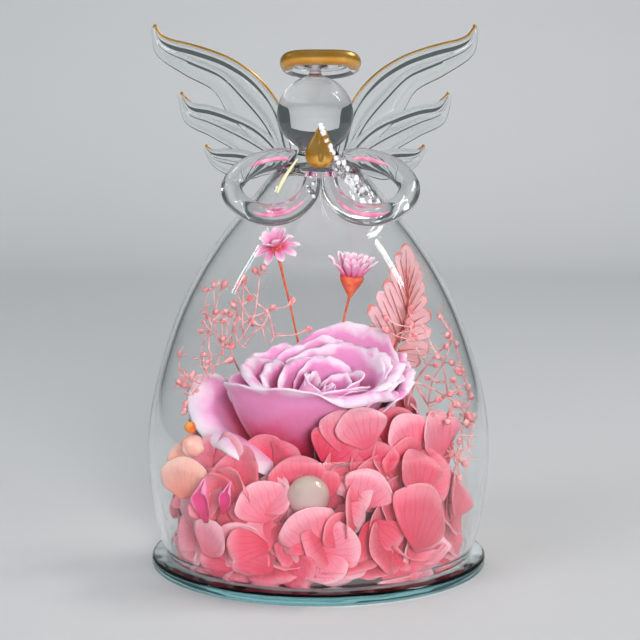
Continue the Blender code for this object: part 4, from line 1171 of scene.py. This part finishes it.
# The pearl, with a drill hole at each side
pearl = {"centre": (-2.5, -33.4, 26.1), "radius": 5.5, "hole": 0.45, "lean": 80}


def buildPearl():
    bm = bmesh.new()
    bmesh.ops.create_uvsphere(bm, u_segments=56, v_segments=40, radius=pearl["radius"])
    for vert in bm.verts:
        off = Vector((vert.co.x, vert.co.y)).length
        vert.co.z *= 1 - 0.16 * math.exp(-(off / pearl["hole"]) ** 2)
    setDown(bm, pearl["lean"], "Y", pearl["centre"])
    finishPiece("pearl", bm, pearlLustre, ("pearl",))


# Two closed buds beside the rose, each with three seams
closedBuds = [("orange", budOrange, (-33.4, -19.0, 41.2), 1.5, 1.0),  # centre, radius, how tall
              ("peach", budPeach, (-32.6, -20.5, 36.6), 3.1, 0.86)]


def buildClosedBuds():
    for tint, material, centre, radius, tall in closedBuds:
        bm = bmesh.new()
        bmesh.ops.create_uvsphere(bm, u_segments=36, v_segments=24, radius=radius)
        for vert in bm.verts:
            angle = math.atan2(vert.co.y, vert.co.x) + vert.co.z / radius * 0.8
            seam = 1 - 0.16 * (1 - abs(math.sin(1.5 * angle))) ** 4 + 0.05 * noise.noise(vert.co * 0.9)
            vert.co = Vector((vert.co.x * seam, vert.co.y * seam, vert.co.z * tall))
        setDown(bm, 35, "X", centre)
        finishPiece("closed_bud_" + tint, bm, material, ())


# The fern leaf: overlapping lobes on both sides of a midrib, each from its foot to its tip
fern = {"midrib": [(19.4, 20.9, 49.6), (21.8, 19.6, 56.5), (24.4, 16.6, 65.0), (24.9, 12.7, 71.5),
                   (23.9, 8.0, 79.6), (23.5, 5.0, 85.4)],
        "stalk": [(15.4, 14.6, 21.0), (20.0, 20.0, 35.0), (19.0, 21.6, 44.0)],
        "lobes": [  # foot, tip, half width over length, how far out the widest part lies
            ((24.2, 9.5, 77.0), (23.9, 4.6, 87.2), 0.19, 0.4),
            ((24.7, 12.7, 71.5), (21.9, 5.6, 84.6), 0.14, 0.6),
            ((24.8, 15.6, 66.7), (20.3, 8.0, 80.2), 0.13, 0.6),
            ((24.0, 18.4, 61.0), (18.7, 10.2, 76.2), 0.13, 0.6),
            ((22.9, 19.4, 57.3), (16.9, 12.3, 72.6), 0.14, 0.6),
            ((21.6, 20.2, 54.0), (14.4, 15.0, 68.4), 0.15, 0.6),
            ((20.3, 20.5, 51.8), (14.4, 17.4, 62.0), 0.20, 0.6),
            ((24.6, 10.8, 74.6), (25.7, 6.8, 84.4), 0.16, 0.6),
            ((24.8, 11.9, 72.6), (27.0, 7.6, 81.8), 0.18, 0.6),
            ((24.9, 13.4, 70.0), (28.1, 8.8, 79.0), 0.20, 0.6),
            ((24.9, 14.9, 67.2), (28.9, 10.9, 75.4), 0.22, 0.6),
            ((25.0, 16.2, 65.0), (29.8, 13.0, 71.4), 0.25, 0.7),
            ((24.4, 18.2, 61.6), (31.1, 14.9, 66.6), 0.29, 0.9),
            ((23.4, 19.4, 57.8), (31.6, 17.4, 61.2), 0.28, 0.9),
            ((22.3, 20.0, 54.8), (31.2, 18.5, 56.0), 0.28, 0.9),
            ((21.2, 20.3, 52.6), (28.8, 19.4, 51.6), 0.28, 0.8)]}


def buildFern():
    bm = bmesh.new()
    for i, (foot, tip, share, bulge) in enumerate(fern["lobes"]):
        foot, tip = Vector(foot), Vector(tip)
        bow = 0.06 if tip.x > foot.x else -0.06
        out = tip - foot
        reach = out.length
        out.normalize()
        edge = out.cross(Vector((0, 1, 0))).normalized()
        face = edge.cross(out).normalized()

        def blade(u, t):
            # narrow foot, widest part past the middle, round scalloped tip
            peak = 0.45 + 0.3 * bulge
            half = reach * share * (0.16 + 0.84 * math.sin(math.pi * 0.5 * min(t / peak, 1.0)))
            half *= math.sqrt(max(1 - (max(t - peak, 0.0) / (1.12 - peak)) ** 2, 0.0))
            scallop = 1 + 0.045 * math.cos(t * 34 + i) * smoothStep(0.3, 0.6, t) * abs(u)
            wave = noise.noise(Vector((u * 1.5, t * 2.0, i * 3.3)))
            curve = bow * reach * math.sin(math.pi * t)
            lift = 0.5 * wave - 0.10 * i + 0.35 * abs(u) - 0.25
            return (foot + out * reach * t * (1 - 0.10 * u * u) + edge * (half * u * scallop + curve)
                    - face * lift)
        petalSheet(bm, 10, 18, blade)
    finishPiece("fern_leaf", bm, fernLeaf, ("fern_leaf",), thickness=0.2)
    bm = bmesh.new()
    growTube(bm, fern["stalk"] + fern["midrib"][:-1], [0.6, 0.55, 0.5, 0.42, 0.36, 0.3, 0.24, 0.12], 8, 34)
    for foot, tip, share, bulge in fern["lobes"]:
        # each lobe has a thin rib of its own
        foot, tip = Vector(foot), Vector(tip)
        growTube(bm, [foot, (foot + tip) / 2 + Vector((0, 0, 0.2)), foot.lerp(tip, 0.82)],
                 [0.17, 0.12, 0.06], 6, 9)
    bmesh.ops.translate(bm, vec=(0, -0.45, 0), verts=bm.verts)
    finishPiece("fern_midrib", bm, stemRed, ())


# Star flowers: two rings of narrow rays over a cup, on a thin stem
starFlowers = {  # rings: rays, length, half width over length, rise in degrees; foot is where they start
    "left_star_flower": {"centre": (-11.8, 12.0, 85.0), "lean": (26, -12), "foot": 1.6, "cup": 0.62,
                         "rings": [(9, 5.2, 0.25, -4), (7, 4.8, 0.30, 52)],
                         "stem": [(-4.0, 19.0, 21.2), (-4.2, 27.0, 36.0), (-5.0, 28.4, 50.0),
                                  (-7.4, 25.0, 64.0)]},
    "right_star_flower": {"centre": (9.2, 12.0, 76.8), "lean": (8, 6), "foot": 2.7, "cup": 1.0,
                          "rings": [(13, 6.6, 0.17, 56), (10, 6.0, 0.17, 76)],
                          "stem": [(4.0, 19.0, 21.2), (5.0, 27.0, 36.0), (6.0, 28.4, 50.0),
                                   (6.6, 25.0, 60.0)]},
}
cupProfile = [(0, 0.9), (1.6, 0.8), (2.9, 0.6), (3.3, 0.0), (3.0, -1.2), (2.2, -2.8), (1.3, -4.3),
              (0.6, -5.6), (0, -6.2)]


def buildStarFlower(name, data):
    lean = data["lean"]
    matrix = (Matrix.Translation(data["centre"]) @ Matrix.Rotation(math.radians(lean[1]), 4, "Y")
              @ Matrix.Rotation(math.radians(lean[0]), 4, "X"))
    bm = bmesh.new()
    for ring, (count, size, share, rise) in enumerate(data["rings"]):
        for k in range(count):
            seed = k * 2.3 + ring * 9

            def ray(u, t):
                half = share * size * (0.35 + 0.65 * math.sin(math.pi * 0.62 * t))
                half *= 1 - 0.25 * smoothStep(0.8, 1, t)
                wave = noise.noise(Vector((u, t * 2, seed)))
                notch = 1 - 0.12 * u * u + 0.03 * math.cos(u * 9)
                return Vector((size * t * notch, half * u, 0.5 * wave * t + 0.6 * u * u - 0.5 * t * t))
            made = petalSheet(bm, 6, 9, ray)
            tilt = Matrix.Rotation(-math.radians(rise + 14 * noise.noise(Vector((seed, ring, 0.5)))), 4, "Y")
            spot = Matrix.Rotation(math.tau * (k + 0.5 * ring) / count, 4, "Z")
            foot = Matrix.Translation((data["foot"] * (1 - 0.3 * ring), 0, 0.4 * ring))
            bmesh.ops.transform(bm, matrix=spot @ foot @ tilt, verts=made)
    moveAll(bm, matrix)
    finishPiece(name, bm, rayPetal, (name,), thickness=0.16)

    wide = data["cup"]
    cup = turned([(r * wide, z * wide) for r, z in cupProfile], 32)
    for vert in cup.verts:
        ridge = 1 + 0.05 * math.cos(math.atan2(vert.co.y, vert.co.x) * 13)
        vert.co.x *= ridge
        vert.co.y *= ridge
    moveAll(cup, matrix)
    neck = matrix @ Vector((0, 0, -5.0 * wide))
    growTube(cup, data["stem"] + [tuple(neck)], [0.34, 0.34, 0.32, 0.30, 0.42], 8, 26)
    finishPiece(name + "_cup", cup, calyxRed, (), smoothAngle=60)


# Gypsophila: the main twig of each fork and its buds; a bud is (x, y, z)
sprays = {
    "gypsophila_left_tall": {
        "twig": [(-11.0, 18.0, 20.8), (-17.5, 26.0, 38.0), (-24.8, 24.4, 54.0), (-22.6, 16.0, 67.0)],
        "buds": [(-15.4, 12, 79.2), (-17.4, 10, 78.7), (-20.9, 12, 76.2), (-22.5, 14, 74.4),
                 (-19.6, 16, 69.9), (-13.2, 22, 66.4), (-7.7, 22, 68.4), (-3.3, 24, 60.2), (-23.5, 15, 68.3),
                 (-18.6, 24, 62.0)]},
    "gypsophila_left_middle": {
        "twig": [(-17.0, 15.4, 18.8), (-24.0, 22.6, 36.0), (-33.0, 18.6, 52.0), (-30.2, 13.4, 63.0)],
        "buds": [(-26.5, 12, 74.6), (-29.2, 10, 74.9), (-31.3, 8, 74.1), (-26.6, 12, 66.9), (-28.6, 8, 67.7),
                 (-24.5, 14, 66.0), (-26.8, 10, 64.9), (-22.6, 16, 64.3), (-32.1, 6, 62.8), (-26.6, 12, 59.5),
                 (-25.1, 14, 57.3)]},
    "gypsophila_left_low": {
        "twig": [(-21.0, 11.5, 18.4), (-26.5, 19.5, 34.0), (-35.4, 13.2, 48.0)],
        "buds": [(-38.7, 6, 56.2), (-31.1, 6, 56.2), (-30.9, 8, 53.9), (-25.4, 15, 53.0), (-35.1, 8, 49.8),
                 (-38.4, 4, 49.0), (-36.6, 6, 47.8), (-34.0, 8, 45.9), (-36.0, 4, 43.5), (-36.4, 2, 41.6),
                 (-34.4, 0, 37.9)]},
    "gypsophila_right_tall": {
        "twig": [(19.4, 15.0, 17.8), (24.6, 16.0, 32.0), (26.6, 14.6, 46.0), (33.6, 8.6, 57.0)],
        "buds": [(33.7, 6, 66.4), (35.5, 4, 61.9), (37.8, 2, 59.7), (34.8, 6, 58.4), (32.6, 2, 56.3),
                 (31.3, -2, 54.8), (36.4, 0, 55.0), (38.7, 2, 52.0), (29.5, -4, 51.6), (25.5, 8, 63.5),
                 (24.7, 8, 62.8), (25.8, 8, 60.9), (25.3, 8, 67.8), (19.0, 6, 66.0), (19.1, 6, 62.7)]},
    "gypsophila_right_middle": {
        "twig": [(25.4, 4.2, 17.2), (32.2, 5.3, 32.0), (36.6, 4.6, 43.0)],
        "buds": [(36.2, -4, 50.9), (41.1, 0, 47.8), (41.0, -4, 46.4), (34.9, -8, 48.0), (37.2, -6, 44.6),
                 (31.6, -10, 46.8), (41.6, -3, 41.0), (38.0, -2, 47.0)]},
    "gypsophila_right_low": {
        "twig": [(30.6, 1.0, 10.0), (34.9, -1.4, 21.0), (38.6, -5.4, 31.0)],
        "buds": [(35.1, -10, 42.9), (29.9, -12, 43.1), (39.6, -8, 39.8), (35.0, -14, 32.6), (38.4, -12, 30.0),
                 (37.2, -14, 26.9), (41.0, -5.2, 40.6), (37.0, -14, 36.0), (34.0, -14, 41.6)]},
}
runners = {  # forked twigs by spray: how deep each lies (y), then (x, z) along it
    "gypsophila_left_tall": [
        (20, [(-29.8, 48.5), (-27.4, 54.7), (-24.4, 59.6), (-19.3, 63.9), (-14.2, 66.1), (-13.2, 66.8),
              (-8.9, 67.5)]),
        (18, [(-20.9, 56.7), (-18.2, 60.2), (-15.8, 62.4), (-14.2, 66.1), (-17.9, 69.1), (-20.4, 72.9)]),
        (16, [(-20.0, 58.9), (-21.1, 61.1), (-21.2, 67.8), (-20.9, 73.2)]),
        (15, [(-15.2, 62.9), (-17.0, 62.9), (-19.2, 64.7), (-21.5, 68.5), (-22.8, 72.5)]),
        (15, [(-21.8, 59.1), (-18.1, 65.3), (-17.1, 70.6), (-16.5, 76.8)]),
        (20, [(-14.2, 65.8), (-12.9, 61.2), (-12.8, 58.5), (-13.7, 57.2)]),
        (21, [(-15.9, 61.9), (-15.1, 57.5)]),
    ],
    "gypsophila_left_middle": [
        (12, [(-29.5, 49.7), (-30.3, 55.0), (-30.4, 60.4), (-29.1, 65.7), (-27.4, 73.2)]),
        (10, [(-29.5, 63.9), (-31.6, 69.0), (-31.5, 73.5)]),
        (9, [(-28.6, 68.3), (-29.1, 74.7)]),
        (14, [(-27.1, 57.1), (-28.9, 62.7), (-29.0, 67.6)]),
        (15, [(-20.3, 56.4), (-22.6, 58.6), (-23.1, 61.5), (-24.2, 64.2)]),
        (15, [(-26.3, 57.7), (-25.3, 63.1), (-24.4, 65.3)]),
        (16, [(-26.7, 54.3), (-27.1, 63.5)]),
    ],
    "gypsophila_left_low": [
        (6, [(-39.1, 55.8), (-38.6, 52.1), (-37.0, 48.9), (-34.4, 46.4)]),
        (6, [(-40.2, 46.2), (-38.4, 48.4)]),
        (5, [(-37.3, 46.2), (-34.4, 44.8)]),
        (8, [(-37.4, 51.5), (-36.1, 49.3), (-32.4, 48.0)]),
        (9, [(-30.0, 48.9), (-31.4, 52.4), (-31.9, 55.3)]),
        (9, [(-32.2, 48.3), (-31.1, 51.8), (-29.3, 55.3)]),
    ],
    "gypsophila_right_tall": [
        (4, [(33.4, 66.9), (37.3, 62.6), (39.5, 56.6), (41.2, 51.8), (41.0, 49.2), (43.4, 46.6),
             (43.5, 39.7)]),
        (6, [(28.4, 64.5), (31.5, 58.0), (34.1, 54.1), (35.9, 44.9), (39.3, 41.9), (42.4, 36.2),
             (44.8, 31.8)]),
        (8, [(36.7, 61.5), (36.7, 59.8), (35.0, 54.6), (31.6, 48.9), (30.4, 42.8)]),
        (7, [(29.0, 54.8), (26.4, 58.2), (24.2, 60.0), (25.5, 63.9)]),
    ],
    "gypsophila_right_middle": [
        (2, [(40.9, 49.6), (35.6, 46.1), (30.1, 42.2)]),
        (3, [(26.3, 49.4), (32.3, 46.8), (38.3, 42.9), (41.3, 38.6)]),
        (0, [(26.1, 49.6), (29.6, 43.5), (33.4, 38.3), (35.6, 30.9)]),
        (4, [(25.9, 50.1), (24.2, 40.5), (24.7, 35.3)]),
        (1, [(42.8, 45.0), (39.1, 36.8), (39.5, 31.6)]),
    ],
    "gypsophila_right_low": [
        (-6, [(32.7, 37.4), (43.6, 38.7)]),
        (-6, [(32.7, 37.2), (42.4, 35.9)]),
        (-5, [(32.8, 37.4), (38.6, 41.1)]),
        (-7, [(32.6, 38.0), (35.1, 43.2)]),
        (-6, [(28.6, 28.8), (32.7, 37.4), (37.0, 28.4)]),
        (-7, [(33.6, 30.7), (43.6, 34.2)]),
        (-8, [(36.4, 31.0), (41.9, 30.1)]),
        (-5, [(43.7, 39.8), (40.4, 33.7), (41.1, 30.7)]),
    ],
}
sprig = {"mainRadius": 0.34, "twigRadius": 0.22, "budRadius": 1.0, "sides": 6, "stations": 9, "seed": 3,
         "fans": 2, "glassRoom": 1.7}


def insideGlass(place):
    # a twig keeps off the glass
    flat = Vector((place[0], place[1]))
    room = innerRadius(place[2]) - sprig["glassRoom"]
    if flat.length > room:
        flat *= room / flat.length
    return Vector((flat.x, flat.y, place[2]))


def buildSpray(name, data, number):
    pick = random.Random(sprig["seed"] + number)
    twigs = bmesh.new()
    buds = bmesh.new()
    growTube(twigs, data["twig"], [sprig["mainRadius"], 0.34, 0.30, 0.24], sprig["sides"], 26)
    joints = [curvePoint(data["twig"], 0.45 + 0.55 * k / 8) for k in range(9)]
    thin = sprig["twigRadius"]
    for depth, line in runners[name]:
        path = [insideGlass((x, depth + pick.uniform(-1.2, 1.2), z)) for x, z in line]
        growTube(twigs, path, [thin, thin * 1.1, thin, thin * 0.8], sprig["sides"], 6 * len(path))
        joints += [curvePoint(path, k / 7) for k in range(8)]
        # a short bract stands off every bend
        for bend in path[1:-1]:
            side = Vector((pick.uniform(-1, 1), pick.uniform(-1, 0.4), pick.uniform(0, 1))).normalized()
            growTube(twigs, [bend, bend + side * 0.8, insideGlass(bend + side * 1.9)],
                     [thin, thin * 0.8, 0.07], 5, 4)
    for bud in data["buds"]:
        bud = insideGlass(bud)
        size = sprig["budRadius"] * pick.uniform(0.8, 1.15)
        joint = min(joints, key=lambda place: (bud - place).length + (3.0 if place.z > bud.z else 0.0))
        reach = bud - joint
        bend = joint + reach * 0.5 + Vector((pick.uniform(-1, 1), 0, -0.5)) * reach.length * 0.12
        growTube(twigs, [joint, bend, bud], [thin, thin * 0.9, thin * 1.2], sprig["sides"], sprig["stations"])
        ahead = (bud - bend).normalized()
        addBall(buds, bud + ahead * size * 0.6, size * 0.92, ahead, pick.uniform(1.25, 1.7), 10)
        addBall(twigs, bud - ahead * size * 0.35, size * 0.5, ahead, 1.1, 8)
        # tiny side shoots with smaller buds
        for fan in range(sprig["fans"]):
            side = Vector((pick.uniform(-1, 1), pick.uniform(-0.8, 0.8), pick.uniform(-0.2, 1))).normalized()
            end = insideGlass(joint + side * pick.uniform(2.0, 4.5))
            growTube(twigs, [joint, (joint + end) / 2 + Vector((0, 0, 0.3)), end], [0.16, 0.13, 0.11], 5, 5)
            if pick.random() < 0.3:
                addBall(buds, end, 0.42 * pick.uniform(0.8, 1.4), side, 1.3, 8)
    finishPiece(name, twigs, twigPink, (name,))
    finishPiece(name + "_buds", buds, budPink, ())


buildPearl()
buildClosedBuds()
buildFern()
for flowerName, flowerData in starFlowers.items():
    buildStarFlower(flowerName, flowerData)
for sprayNumber, (sprayName, sprayData) in enumerate(sprays.items()):
    buildSpray(sprayName, sprayData, sprayNumber)
print("small flowers done")


def dressNode(node, material):
    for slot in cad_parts[node].material_slots:
        slot.material = material


dressNode("flower_foam", foamBrown)
dressNode("rose_calyx", stemRed)
